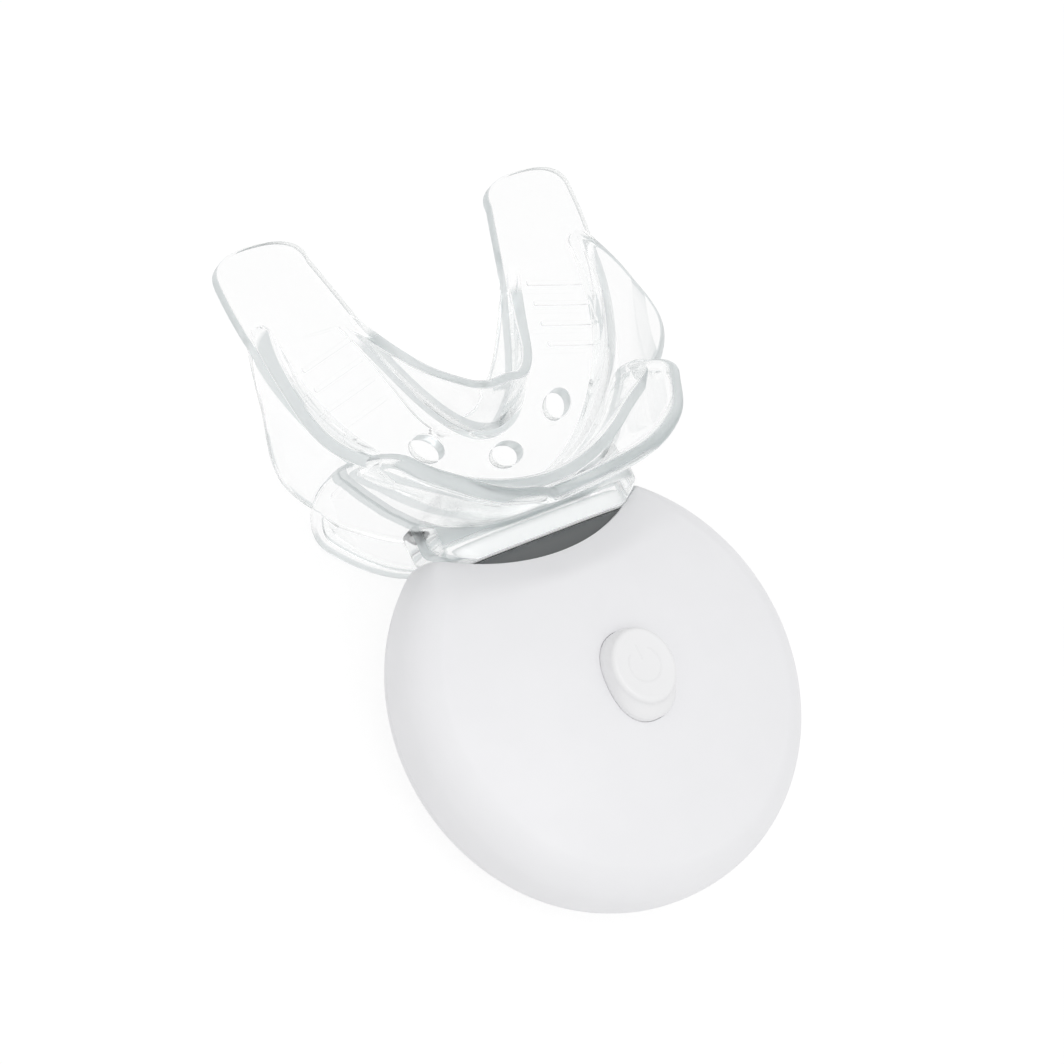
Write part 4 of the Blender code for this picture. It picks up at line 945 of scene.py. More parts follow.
def screw_bore(centre, top):
    """Cutter for a counterbore with an eased mouth and the clearance hole above it."""
    head, shank = SCREW_HEAD_BORE, SCREW_SHANK_BORE
    profile = [(0, -OVERRUN), (head + 1.2 * MM, -OVERRUN), (head + 0.2 * MM, 0), (head, 0.2 * MM),
               (head, SCREW_SEAT), (shank, SCREW_SEAT), (shank, top + OVERRUN), (0, top + OVERRUN)]
    return turned("screw_bore", profile, centre, 32)


# Nose and button

def nose_ring(grow, y):
    """A ring that stands out from the nose's outline by a length. The flange's own rings sit lower."""
    lower = FLANGE_LOWER if grow >= FLANGE_LIP else 0.0

    def point(turn):
        x, z = oval_point((NOSE_HALF[0] + grow, NOSE_HALF[1] + grow), OVAL_POWER, turn)
        return (x, y, SOCKET_HEIGHT + z - lower)
    return point


def make_collar():
    """Collar of the nose, coloured dark grey as painted shade: a tube with a flange behind the cut's wall.
    """
    back, front = NOSE_FLANGE
    tip, ease = NOSE_JOINT - NOSE_SEAM, NOSE_EASE
    levels = [(-NOSE_WALL, back), (FLANGE_LIP, back), (FLANGE_LIP, front), (0.0, front)]
    levels += [(0.0, front + (tip - ease - front) * i / 5) for i in range(1, 6)]
    levels += [(-ease * 0.3, tip - ease * 0.3), (-ease, tip)]
    levels += [(-NOSE_WALL, y) for y in (tip, (tip + back) / 2, back)]
    rings = [nose_ring(*level) for level in levels]
    return smooth(ring_stack("nose_window", rings, even_turns(OVAL_SEGMENTS)), 40)


def make_lens():
    """Opal lens over the nose's tip, hollow and rounded at its front edge."""
    floor = NOSE_TIP - NOSE_WALL
    levels = [(-NOSE_WALL - LENS_FLAT, floor), (-NOSE_WALL - LENS_CORNER, floor),
              (-NOSE_WALL, floor - LENS_CORNER), (-NOSE_WALL, NOSE_JOINT), (-NOSE_EASE, NOSE_JOINT),
              (0.0, NOSE_JOINT + NOSE_EASE)]
    levels += [(-inset, NOSE_TIP - drop) for inset, drop in rounding(LENS_EDGE, 6)]
    levels.append((-LENS_FLAT, NOSE_TIP))
    rings = [nose_ring(*level) for level in levels]
    rings = [pole(0, floor, SOCKET_HEIGHT), *rings, pole(0, NOSE_TIP, SOCKET_HEIGHT)]
    return smooth(ring_stack("nose_lens", rings, even_turns(OVAL_SEGMENTS)), 40)


def button_base(case, button):
    """Height of the flange's underside, with its end farther from the tray clear of the dome."""
    reach, thick = CAP_FLANGE
    return dome_height(case, button.half_length + reach - BUTTON_Y) - case.wall - FIT_GAP - thick


def button_top(case, button):
    return case.height + button.stand


def cap_rim(button):
    """Half widths of the cap's dished top."""
    return (button.top_half_width - button.edge, button.top_half_length - button.edge)


def dish_height(case, button, share):
    """Height of the dished top, at a share of the way from its middle to its rim."""
    return button_top(case, button) - CAP_DISH * (1 - share * share)


def make_button(case, button):
    """Cap with a flange under the dome, an oval neck, and a shorter dished top set towards the tray."""
    base, top = button_base(case, button), button_top(case, button)
    reach, thick = CAP_FLANGE
    neck, shoulder = base + thick, case.height + CAP_NECK
    wide, long = button.half_width, button.half_length
    top_wide, top_long = button.top_half_width, button.top_half_length
    flange = [(0.0, base), (reach - CAP_EASE, base), (reach, base + CAP_EASE), (reach, neck - CAP_EASE),
              (reach - CAP_EASE, neck), (CAP_EASE, neck)]
    flange += [(0.0, height) for height in (neck + CAP_EASE, (neck + shoulder) / 2, shoulder)]
    levels = [(0, 0, CAP_POWER, base)]
    levels += [(wide + grow, long + grow, HOLE_POWER, height) for grow, height in flange]
    for index in range(1, CAP_FLANK_STEPS):
        share = index / CAP_FLANK_STEPS
        levels.append((wide + (top_wide - wide) * eased(share), long + (top_long - long) * eased(share),
                       HOLE_POWER + (CAP_POWER - HOLE_POWER) * share,
                       shoulder + (top - button.edge - shoulder) * share))
    levels += [(top_wide - inset, top_long - inset, CAP_POWER, top - drop)
               for inset, drop in rounding(button.edge, 8)]
    rim = cap_rim(button)
    levels += [(rim[0] * share, rim[1] * share, CAP_POWER, dish_height(case, button, share))
               for share in (0.96, 0.85, 0.7, 0.5, 0.25, 0.0)]
    rings = []
    for half_x, half_y, power, height in levels:
        share = clamp((height - shoulder) / (top - button.edge - shoulder))
        rings.append(oval_ring((half_x, half_y), power, BUTTON_Y + button.top_shift * eased(share), height))
    return smooth(ring_stack("push_button", rings, even_turns(OVAL_SEGMENTS)), 40)


def make_power_sign(case, button):
    """Low raised sign on the button: an open ring with a bar in its gap, as flat ribbons with round ends."""
    radius, rim = button.mark, cap_rim(button)
    middle = BUTTON_Y + button.top_shift

    def ribbon(name, route, count):
        def place(u, v):
            x, y, side_x, side_y = route(u)
            turn = 2 * math.pi * v
            end = max(0.0, 1 - min(u, 1 - u) * count / 3)
            full = math.sqrt(max(0.0, 1 - end ** 2))
            x += side_x * SIGN_HALF_LINE * full * math.cos(turn)
            y += side_y * SIGN_HALF_LINE * full * math.cos(turn)
            rise = SIGN_RELIEF * full * math.copysign(abs(math.sin(turn)) ** 0.5, math.sin(turn))
            share = min(1.0, math.hypot(x / rim[0], (y - middle) / rim[1]))
            return (x, y, dish_height(case, button, share) + rise)
        return placed_grid(name, count, 12, place)

    def ring_route(u):
        turn = math.pi / 2 + SIGN_GAP + (2 * math.pi - 2 * SIGN_GAP) * u
        cos, sin = math.cos(turn), math.sin(turn)
        return (radius * cos, middle + radius * sin, cos, sin)

    def bar_route(u):
        return (0.0, middle + radius * (SIGN_BAR[0] + (SIGN_BAR[1] - SIGN_BAR[0]) * u), 1.0, 0.0)

    sign = ribbon("power_sign", ring_route, 72)
    return smooth(joined(sign, ribbon("sign_bar", bar_route, 16)), 60)


# Battery bay, screws and electronics

def make_door(battery):
    """Press-in battery door: eased edges, a shallow dish and a coin slot in its outer face."""
    radius, top = battery.door_radius, battery.door_thickness
    edge, dish, dish_radius = 0.25 * MM, 0.3 * MM, 9.0 * MM
    profile = [(0, dish), (dish_radius - 0.5 * MM, dish), (dish_radius, dish * 0.75),
               (dish_radius + 0.3 * MM, dish * 0.2), (dish_radius + 0.6 * MM, 0)]
    profile += [(radius - drop, inset) for inset, drop in rounding(edge, 4)]
    profile += [(radius, top - edge / 2), (radius - edge / 2, top), (0, top)]
    door = turned("door", profile, segments=FINE_SEGMENTS)
    slot = [oval_ring(COIN_SLOT_HALF, COIN_SLOT_POWER, 0.0, height)
            for height in (-OVERRUN, COIN_SLOT_DEPTH)]
    slot = [pole(0, 0, -OVERRUN), *slot, pole(0, 0, COIN_SLOT_DEPTH)]
    return smooth(combine(door, "DIFFERENCE", ring_stack("coin_slot", slot, even_turns(SMALL_SEGMENTS))))


def make_seal(battery):
    """O-ring in the gap between the well's step and the door."""
    deselect()
    orbit = (battery.well_radius + battery.door_radius + FIT_GAP) / 2
    height = SEAT_HEIGHT - SEAL_WIRE - SEAL_CLEAR
    bpy.ops.mesh.primitive_torus_add(major_radius=orbit, minor_radius=SEAL_WIRE, location=(0, 0, height),
                                     major_segments=FINE_SEGMENTS, minor_segments=16)
    return smooth(settle(named("seal_ring")), 60)


def make_cell(battery):
    """Coin cell standing on its can: the can crimped over the cap, with the groove that the gasket fills."""
    r, h = battery.cell_radius, battery.cell_height
    foot = ((0.9, 0.0), (0.5, 0.05), (0.15, 0.25), (0.0, 0.6))
    crimp = ((0.0, 0.75), (0.12, 0.45), (0.4, 0.22), (0.85, 0.12), (1.0, 0.2), (1.0, 0.5), (1.35, 0.5),
             (1.35, 0.15), (1.5, 0.03), (1.8, 0.0))
    seal = ((1.32, 0.48), (1.32, 0.16), (1.03, 0.16), (1.03, 0.48), (1.32, 0.48))
    profile = [(0, 0)] + [(r - inset * MM, rise * MM) for inset, rise in foot]
    profile += [(r - inset * MM, h - drop * MM) for inset, drop in crimp] + [(0, h)]
    can = turned("cell_can", profile, segments=FINE_SEGMENTS)
    profile = [(r - inset * MM, h - drop * MM) for inset, drop in seal]
    return smooth(can), smooth(turned("cell_gasket", profile, segments=FINE_SEGMENTS))


def make_contact(name, low, high, dimple, squash):
    """Spring leaf with eased edges and a dimple that presses on the cell."""
    leaf = block(name, low, high, 0.1 * MM)
    deselect()
    bpy.ops.mesh.primitive_uv_sphere_add(segments=32, ring_count=16, radius=DIMPLE_RADIUS, location=dimple)
    bump = named("dimple")
    bump.scale = squash
    return smooth(combine(leaf, "UNION", settle(bump)))


def make_screw():
    """Self-tapping screw, head down: a domed head with a cross recess, ridges for its thread, and a tip."""
    head, core, crest, pitch = 1.6 * MM, 0.6 * MM, 0.8 * MM, 0.6 * MM
    under = SCREW_SEAT - 0.05 * MM
    profile = [(0, SCREW_BASE), (0.9 * MM, SCREW_BASE), (1.35 * MM, SCREW_BASE + 0.12 * MM),
               (head, SCREW_BASE + 0.45 * MM), (head, under - 0.1 * MM), (head - 0.1 * MM, under),
               (core, under)]
    height = SCREW_SEAT + 0.3 * MM
    while height < SCREW_TIP - 1.2 * MM:
        profile += [(core, height), (crest, height + 0.2 * MM), (crest, height + 0.26 * MM),
                    (core, height + 0.46 * MM)]
        height += pitch
    profile += [(core, SCREW_TIP - 0.7 * MM), (0, SCREW_TIP)]
    screw = turned("screw", profile, segments=40)
    for x, y in ((0.85 * MM, 0.2 * MM), (0.2 * MM, 0.85 * MM)):
        recess = block("recess", (-x, -y, SCREW_BASE - OVERRUN), (x, y, SCREW_BASE + 0.6 * MM))
        combine(screw, "DIFFERENCE", recess)
    return smooth(screw, 32)


# Tray

def plan_curve(points):
    """A function that gives place and outward normal at a share of a curve's length."""
    places = bezier(points, 160)
    lengths = [0.0]
    for first, second in zip(places, places[1:]):
        lengths.append(lengths[-1] + (second - first).length)

    def read(share):
        target = clamp(share) * lengths[-1]
        low, high = 0, len(places) - 2
        while low < high:
            middle = (low + high + 1) // 2
            if lengths[middle] <= target:
                low = middle
            else:
                high = middle - 1
        t = (target - lengths[low]) / (lengths[low + 1] - lengths[low])
        before = places[max(0, low - 1)]
        after = places[min(len(places) - 1, low + 2)]
        along = (after - before).normalized()
        if low == 0 and abs(places[0].x) < MERGE_DISTANCE:
            along = Vector((1, 0)).lerp(along, min(1.0, t)).normalized()
        return places[low].lerp(places[low + 1], t), Vector((along.y, -along.x))

    return read


def tray_curves(tray):
    """The outer and the inner edge of the bite plate's right half, from the front to the tip."""
    outer = tray.spread + tray.arm_width / 2
    inner = tray.spread - tray.arm_width / 2
    return (plan_curve([(0, -OUTER_FRONT), (OUTER_FRONT_HANDLE, -OUTER_FRONT),
                        (outer, tray.arm_length - OUTER_SIDE_HANDLE), (outer, tray.arm_length)]),
            plan_curve([(0, INNER_FRONT), (INNER_FRONT_HANDLE, INNER_FRONT), INNER_SIDE,
                        (inner, tray.arm_length)]))


def tray_point(place, height):
    return Vector((place[0], ARCH_FRONT + place[1], BITE_HEIGHT + height))


def outer_wall_middle(curve, along, across):
    """A place in the middle of the outer wall. Along runs from -1 to 1, from the left tip to the right one,
    and across from -1 to 1, from the lower rim to the upper one."""
    share = abs(along) * OUTER_SHARES[-1]
    heights, flares = (UPPER_HEIGHTS, UPPER_FLARES) if across >= 0 else (LOWER_HEIGHTS, LOWER_FLARES)
    place, normal = curve(share)
    flare = smooth_value(OUTER_SHARES, flares, share) * abs(across) ** FLARE_POWER
    tuck = smooth_value(OUTER_SHARES, WALL_TUCKS, share)
    place = place + normal * (flare - tuck - OUTER_WALL_INSET)
    height = across * (PLATE_ROOT + smooth_value(OUTER_SHARES, heights, share))
    return tray_point((math.copysign(place.x, along), place.y), height)


def inner_wall_middle(curve, along, across):
    """A place in the middle of the inner wall, which leans back as it rises."""
    share = abs(along) * INNER_SHARES[-1]
    place, normal = curve(share)
    lean = smooth_value(INNER_SHARES, INNER_LEANS, share) * abs(across)
    tuck = smooth_value(INNER_SHARES, WALL_TUCKS, share)
    back = Vector((normal.x * LEAN_SIDE_SHARE, normal.y))
    place = place + normal * (tuck + INNER_WALL_INSET) - back * lean
    height = across * (PLATE_ROOT + smooth_value(INNER_SHARES, INNER_HEIGHTS, share))
    return tray_point((math.copysign(place.x, along), place.y), height)


def wall_bar(name, middle, roots, rim, columns):
    """A wall as one closed bar: thick where it leaves the plate, and slimmer to its flat-topped rims. Its
    section runs from the plate up one side and down the other, then the same below the plate."""
    quarter = [(row / WALL_ROWS, 0.0) for row in range(WALL_ROWS + 1)]
    quarter += [(1.0, turn) for turn in quarter_turns(4)[1:]]
    quarters = ((1, 1, 1), (1, -1, -1), (-1, -1, 1), (-1, 1, -1))
    section = [(half, side, *station) for half, side, order in quarters for station in quarter[::order]]
    last = len(section) - 1

    def place(u, v):
        half, side, share, turn = section[round(v * last)]
        along = 2 * u - 1
        reach = (middle(along, half) - middle(along, 0)).length
        from_rim = reach - (reach - WALL_CORNER) * share if share < 1 else WALL_CORNER * (1 - math.sin(turn))
        across = half * (1 - from_rim / reach)
        ahead = middle(min(1.0, along + WALL_PROBE), across) - middle(max(-1.0, along - WALL_PROBE), across)
        rise = middle(along, min(1.0, across + WALL_PROBE)) - middle(along, max(-1.0, across - WALL_PROBE))
        root = roots[0] if side > 0 else roots[1]
        near = max(0.0, 1 - (reach - from_rim) / WALL_BLEND) ** 2
        thick = rim / 2 + (root - rim / 2) * near - WALL_CORNER * (1 - math.cos(turn))
        end = min(1.0, (1 - abs(along)) * columns / (2 * WALL_END_COLUMNS))
        thick *= math.sqrt(max(0.0, 1 - (1 - end) ** 2))
        return middle(along, across) + ahead.cross(rise).normalized() * side * thick

    return placed_grid(name, columns, last, place)


def plate_outline(tray, outer, inner):
    """The plate's outline, a step inside the walls' outer faces: the right half, and its mirrored copy."""
    half = []
    for index in range(PLATE_POINTS + 1):
        place, normal = outer(index / PLATE_POINTS)
        half.append(place - PLATE_STEP * normal)
    reach = tray.arm_width / 2 - PLATE_STEP
    for index in range(1, TIP_POINTS):
        turn = math.pi * index / TIP_POINTS
        cos, sin = math.cos(turn), math.sin(turn)
        half.append(Vector((tray.spread + reach * math.copysign(abs(cos) ** TIP_POWER, cos),
                            tray.arm_length + TIP_ROUND * sin ** TIP_POWER)))
    for index in range(PLATE_POINTS + 1):
        place, normal = inner(1 - index / PLATE_POINTS)
        half.append(place + PLATE_STEP * normal)
    left = [Vector((-place.x, place.y)) for place in reversed(half[1:-1])]
    return half + left


def make_plate(tray, outer, inner):
    """Bite plate from a filled outline, its edges rounded by the curve's bevel."""
    data = bpy.data.curves.new("clear_tray", "CURVE")
    data.dimensions = "2D"
    data.fill_mode = "BOTH"
    data.bevel_depth = PLATE_EDGE
    data.bevel_resolution = 3
    data.offset = -PLATE_EDGE
    data.extrude = tray.plate / 2 - PLATE_EDGE
    outline = plate_outline(tray, outer, inner)
    spline = data.splines.new("POLY")
    spline.points.add(len(outline) - 1)
    for point, place in zip(spline.points, outline):
        point.co = (place[0], ARCH_FRONT + place[1], 0, 1)
    spline.use_cyclic_u = True
    plate = bpy.data.objects.new("clear_tray", data)
    bpy.context.scene.collection.objects.link(plate)
    activate(plate)
    bpy.ops.object.convert(target="MESH")
    return clean(settle(shifted(named("clear_tray"), (0, 0, BITE_HEIGHT))))


def make_holes(tray):
    """One cutter for the plate's three oval holes, each waisted so that its mouths come out eased."""
    half = tray.plate / 2
    top = half + OVERRUN
    levels = [(HOLE_EASE, top)] + [(inset, half - drop) for inset, drop in reversed(rounding(HOLE_EASE, 4))]
    levels += [(grow, -height) for grow, height in reversed(levels)]
    cutters = []
    for x, y, degrees in PLATE_HOLES:
        cos, sin = math.cos(math.radians(degrees)), math.sin(math.radians(degrees))

        def ring(grow, height):
            def point(turn):
                a = math.cos(turn) * (tray.hole_length / 2 + grow)
                b = math.sin(turn) * (tray.hole_width / 2 + grow)
                return tray_point((x + a * cos - b * sin, y + a * sin + b * cos), height)
            return point

        rings = [ring(*level) for level in levels]
        rings = [pole(*tray_point((x, y), top)), *rings, pole(*tray_point((x, y), -top))]
        cutters.append(ring_stack("hole_cutter", rings, even_turns(SMALL_SEGMENTS)))
    return joined(*cutters)


def make_ridges(tray):
    """Four low round ridges across each arm, copied from one."""
    deselect()
    bpy.ops.mesh.primitive_cylinder_add(vertices=24, radius=RIDGE_RADIUS, depth=RIDGE_LENGTH,
                                        rotation=(0, math.pi / 2, 0))
    first = settle(named("ridge"))
    bpy.ops.object.mode_set(mode="EDIT")
    select_faces(first, lambda middle, normal: abs(normal.x) > 0.9)
    bpy.ops.mesh.bevel(offset=RIDGE_END, segments=4, affect="EDGES")
    bpy.ops.object.mode_set(mode="OBJECT")
    copies = []
    for side in (-1, 1):
        for row in range(RIDGES):
            place = (side * (RIDGE_START[0] + RIDGE_STEP[0] * row), RIDGE_START[1] + RIDGE_STEP[1] * row)
            copies.append(copy_of(first, "ridge_copy", tray_point(place, tray.plate / 2),
                                  -side * RIDGE_TURN))
    bpy.data.objects.remove(first)
    return joined(*copies)


def shield_place(side, height):
    """How far behind the front hole the shield's middle lies, at a share of its half width and a height."""
    tilt = SHIELD_TILT_SHARE * math.hypot(height, SHIELD_TILT_EASE)
    return SHIELD_SWEEP * abs(side) ** SHIELD_SWEEP_POWER - SHIELD_FRONT - tilt


def shield_edge(heights, side):
    """Height of the shield's upper or lower edge at a share of its half width, rounded at its end."""
    last = SHIELD_SHARES[-1]
    flat = smooth_value(SHIELD_SHARES, heights, min(side, last))
    past = max(0.0, side - last) / (1 - last)
    return SHIELD_END_HEIGHT + (flat - SHIELD_END_HEIGHT) * math.sqrt(max(0.0, 1 - past * past))


def shield_point(share, turn):
    """Place and normal on the middle of the lip shield, a lobed oval that wraps back at its ends."""
    side, rise = share * math.cos(turn), share * math.sin(turn)
    span = math.sqrt(max(0.0, 1 - side * side))
    part = clamp(rise / span, -1.0) if span > 1e-6 else 0.0
    top = shield_edge(SHIELD_TOPS, abs(side))
    bottom = shield_edge(SHIELD_BOTTOMS, abs(side))
    height = (top + bottom) / 2 + part * (top - bottom) / 2
    sweep = SHIELD_SWEEP * SHIELD_SWEEP_POWER * abs(side) ** (SHIELD_SWEEP_POWER - 1) / SHIELD_HALF_WIDTH
    tilt = SHIELD_TILT_SHARE * height / math.hypot(height, SHIELD_TILT_EASE)
    normal = Vector((math.copysign(sweep, side), -1, -tilt)).normalized()
    return tray_point((side * SHIELD_HALF_WIDTH, shield_place(side, height)), height), normal


def make_shield(tray):
    """Lip shield as one skin: its front, a bead rolled round its rim, and its back."""
    def face(share, sign):
        def point(turn):
            place, normal = shield_point(share, turn)
            return place + normal * sign * tray.shield / 2
        return point

    def bead(angle):
        def point(turn):
            place, normal = shield_point(1.0, turn)
            ahead = shield_point(1.0, turn + BEAD_PROBE)[0] - shield_point(1.0, turn - BEAD_PROBE)[0]
            outward = ahead.cross(normal).normalized()
            return place + (outward * math.cos(angle) + normal * math.sin(angle)) * tray.bead
        return point

    wrap = math.pi - math.asin(tray.shield / 2 / tray.bead)
    rings = [face(share, 1) for share in (0.0, *SHIELD_RINGS)]
    rings += [bead(wrap * (1 - index / BEAD_STEPS)) for index in range(2 * BEAD_STEPS + 1)]
    rings += [face(share, -1) for share in (*reversed(SHIELD_RINGS), 0.0)]
    turns = [turn - SHIELD_CROWDING * math.sin(2 * turn) for turn in even_turns(SHIELD_COLUMNS)]
    return ring_stack("shield", rings, turns)


def make_socket(case):
    """Oval socket with a rounded mouth that follows the case's cut, and a bore for the nose."""
    middle = case.cut_reach + case.cut_radius
    clear = case.cut_radius - SOCKET_CLEAR

    def mouth(x):
        return max(SOCKET_END, middle - math.sqrt(clear * clear - x * x))

    def far(x):
        return ARCH_FRONT + shield_place(x / SHIELD_HALF_WIDTH, 0)

    def ring(half, grow, deepness):
        def point(turn):
            x, z = oval_point((half[0] + grow, half[1] + grow), OVAL_POWER, turn)
            return (x, deepness(x), SOCKET_HEIGHT + z)
        return point

    rings = [pole(0, far(0), SOCKET_HEIGHT), ring(SOCKET_HALF, 0.0, far)]
    for share in (0.3, 0.6):
        rings.append(ring(SOCKET_HALF, 0.0,
                          lambda x, share=share: far(x) + (mouth(x) + SOCKET_EDGE - far(x)) * share))
    for inset, drop in rounding(SOCKET_EDGE, 5):
        rings.append(ring(SOCKET_HALF, -inset, lambda x, drop=drop: mouth(x) + drop))
    for inset, drop in reversed(rounding(SOCKET_EDGE, 4)):
        rings.append(ring(SOCKET_BORE_HALF, inset, lambda x, drop=drop: mouth(x) + drop))
    rings += [ring(SOCKET_BORE_HALF, 0.0, lambda x: SOCKET_FLOOR), pole(0, SOCKET_FLOOR, SOCKET_HEIGHT)]
    return ring_stack("socket", rings, even_turns(FINE_SEGMENTS))


def make_tray(tray, case):
    """Joins plate, ridges, walls, shield and socket into one moulding and cuts the plate's holes."""
    outer, inner = tray_curves(tray)
    thing = make_plate(tray, outer, inner)
    outer_wall = wall_bar("outer_wall", lambda u, v: outer_wall_middle(outer, u, v),
                          (tray.outer_root, tray.inner_root), tray.outer_rim, OUTER_WALL_COLUMNS)
    inner_wall = wall_bar("inner_wall", lambda u, v: inner_wall_middle(inner, u, v),
                          (tray.tongue_root, tray.tongue_rim / 2), tray.tongue_rim, INNER_WALL_COLUMNS)
    combine(thing, "UNION", make_ridges(tray), outer_wall, inner_wall)
    combine(thing, "DIFFERENCE", make_holes(tray))
    combine(thing, "UNION", make_shield(tray), make_socket(case))
    return smooth(clean(thing), 35)


# Stage

def rest_plane():
    """The plane that the object rests on, as two (y, z) points with its balance between them."""
    points = set()
    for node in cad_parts.values():
        points.update((round(v.co.y, 5), round(v.co.z, 5)) for v in node.data.vertices)
    hull = []
    for point in sorted(points):
        while len(hull) > 1:
            (y1, z1), (y2, z2) = hull[-2:]
            if (y2 - y1) * (point[1] - z1) - (z2 - z1) * (point[0] - y1) > 0:
                break
            hull.pop()
        hull.append(point)
    balance = (CAD_BOX[0].y + CAD_BOX[1].y) / 2 - BALANCE_SHIFT
    for first, second in zip(hull, hull[1:]):
        if first[0] <= balance <= second[0]:
            return first, second
    raise RuntimeError("the object has no face to rest on")


def floor_paper(look):
    """White paper: it takes the object's shade, looks almost white to the camera, and shows itself to
    reflections and through clear material, paler near the object than far away."""
    surface = bpy.data.materials.new("floor_paper")
    surface.use_nodes = True
    nodes = surface.node_tree.nodes
    nodes.remove(nodes["Principled BSDF"])
    point = add_node(surface, "ShaderNodeTexCoord").outputs["Object"]
    distance = add_node(surface, "ShaderNodeVectorMath", {0: point}, operation="LENGTH").outputs["Value"]
    rays = add_node(surface, "ShaderNodeLightPath").outputs
    far = add_node(surface, "ShaderNodeMapRange",
                   {"Value": distance, **between(*FLOOR_FADE), "To Min": FLOOR_THROUGH,
                    "To Max": look.horizon},
                   interpolation_type="SMOOTHSTEP")
    seen = add_node(surface, "ShaderNodeMath",
                    {0: rays["Is Glossy Ray"], 1: rays["Is Transmission Ray"]}, operation="MAXIMUM")
    direct = add_node(surface, "ShaderNodeMath", {0: rays["Is Camera Ray"], 1: seen}, operation="MAXIMUM")
    through = add_node(surface, "ShaderNodeMath", {0: seen, 1: far}, operation="MULTIPLY")
    strength = add_node(surface, "ShaderNodeMath",
                        {0: rays["Is Camera Ray"], 1: FLOOR_SEEN, 2: through}, operation="MULTIPLY_ADD")
    albedo = add_node(surface, "ShaderNodeMapRange",
                      {"Value": direct, "To Min": FLOOR_PAPER[0], "To Max": FLOOR_PAPER[1]})
    paper = add_node(surface, "ShaderNodeBsdfDiffuse", {"Color": albedo})
    glow = add_node(surface, "ShaderNodeEmission",
                    {"Color": (*look.floor_colour, 1.0), "Strength": strength})
    both = add_node(surface, "ShaderNodeAddShader", {0: paper, 1: glow})
    feed(surface, nodes["Material Output"].inputs["Surface"], both)
    return surface


def make_floor(look):
    """A large pale floor under the object, turned to the plane that it rests on."""
    (y1, z1), (y2, z2) = rest_plane()
    deselect()
    bpy.ops.mesh.primitive_grid_add(x_subdivisions=8, y_subdivisions=8, size=FLOOR_SIZE)
    floor = named("floor")
    turn = Matrix.Rotation(math.atan2(z2 - z1, y2 - y1), 4, "X")
    floor.data.transform(Matrix.Translation((0, y1, z1)) @ turn)
    floor.data.materials.append(floor_paper(look))


def make_light(look):
    """Even white light from all round, which reflections and clear material see fade to the horizon, and
    one large soft lamp nearly overhead."""
    world = bpy.data.worlds.new("soft_studio")
    bpy.context.scene.world = world
    world.use_nodes = True
    background = world.node_tree.nodes["Background"]
    rays = add_node(world, "ShaderNodeLightPath").outputs
    direction = add_node(world, "ShaderNodeTexCoord").outputs["Generated"]
    height = add_node(world, "ShaderNodeSeparateXYZ", {"Vector": direction}).outputs["Z"]
    seen = add_node(world, "ShaderNodeMath",
                    {0: rays["Is Glossy Ray"], 1: rays["Is Transmission Ray"]}, operation="MAXIMUM")
    band = add_node(world, "ShaderNodeMapRange",
                    {"Value": height, **between(0.0, SKY_RISE), "To Min": look.horizon, "To Max": 1.0},
                    interpolation_type="SMOOTHSTEP")
    plain = add_node(world, "ShaderNodeMix", {0: seen, 2: look.sky, 3: band}, data_type="FLOAT")
    strength = add_node(world, "ShaderNodeMix",
                        {0: rays["Is Camera Ray"], 2: plain, 3: 1.0}, data_type="FLOAT")
    feed(world, background.inputs["Strength"], strength)
    background.inputs["Color"].default_value = (1.0, 1.0, 1.0, 1.0)
    deselect()
    bpy.ops.object.light_add(type="AREA", location=KEY_PLACE)
    lamp = named("key_lamp")
    lamp.data.shape = "SQUARE"
    lamp.data.size = KEY_SIZE
    lamp.data.energy = look.key_power
    aim = Vector(KEY_AIM) - Vector(KEY_PLACE)
    lamp.rotation_euler = aim.to_track_quat("-Z", "Y").to_euler()


def make_camera():
    """The camera, at the photograph's viewing angle."""
    deselect()
    bpy.ops.object.camera_add()
    camera = named("photo_camera")
    camera.matrix_world = Matrix.Translation(CAMERA_PLACE) @ Matrix(CAMERA_ROWS).to_4x4()
    camera.data.lens = CAMERA_LENS
    camera.data.sensor_width = CAMERA_SENSOR
    camera.data.sensor_fit = "AUTO"
    camera.data.clip_start, camera.data.clip_end = CAMERA_CLIP
    bpy.context.scene.camera = camera
    bpy.context.scene.view_settings.view_transform = "Standard"


# Operators

def finish_piece(thing, surface, body, slot, *nodes):
    """Gives a piece its finish and body, and hides the CAD nodes that it stands for. Its slot is not used.
    """
    thing.data.materials.clear()
    thing.data.materials.append(surface)
    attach(thing, body)
    if nodes:
        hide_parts(*nodes)
    return thing


def dress(surface, *nodes):
    """Gives CAD nodes that stay as they are their finish."""
    for name in nodes:
        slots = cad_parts[name].material_slots
        if not slots:
            raise RuntimeError(f"{name} has no material slot")
        for slot in slots:
            slot.material = surface


class MOUTHTRAY_OT_clear_tray(bpy.types.Operator):
    """Model the clear bite tray with its lip shield and socket"""
    bl_idname = "mouthtray.clear_tray"
    bl_label = "Clear Tray"

    def execute(self, context):
        scene = context.scene
        tray = make_tray(scene.mouthtray_tray, scene.mouthtray_case)
        silicone = clear_elastomer(scene.mouthtray_tray)
        finish_piece(tray, silicone, "mouthpiece", "clear_elastomer", "mouthpiece")
        return {"FINISHED"}


class MOUTHTRAY_OT_case(bpy.types.Operator):
    """Model the two shells of the case"""
    bl_idname = "mouthtray.case"
    bl_label = "Case Shells"

    def execute(self, context):
        case = context.scene.mouthtray_case
        shell = satin_abs("satin_abs", case.shell_colour)
        finish_piece(make_upper_shell(case), shell, "case", "white_shell", "front_shell")
        finish_piece(make_lower_shell(case, context.scene.mouthtray_battery), shell, "case", "white_shell",
                     "rear_shell")
        return {"FINISHED"}


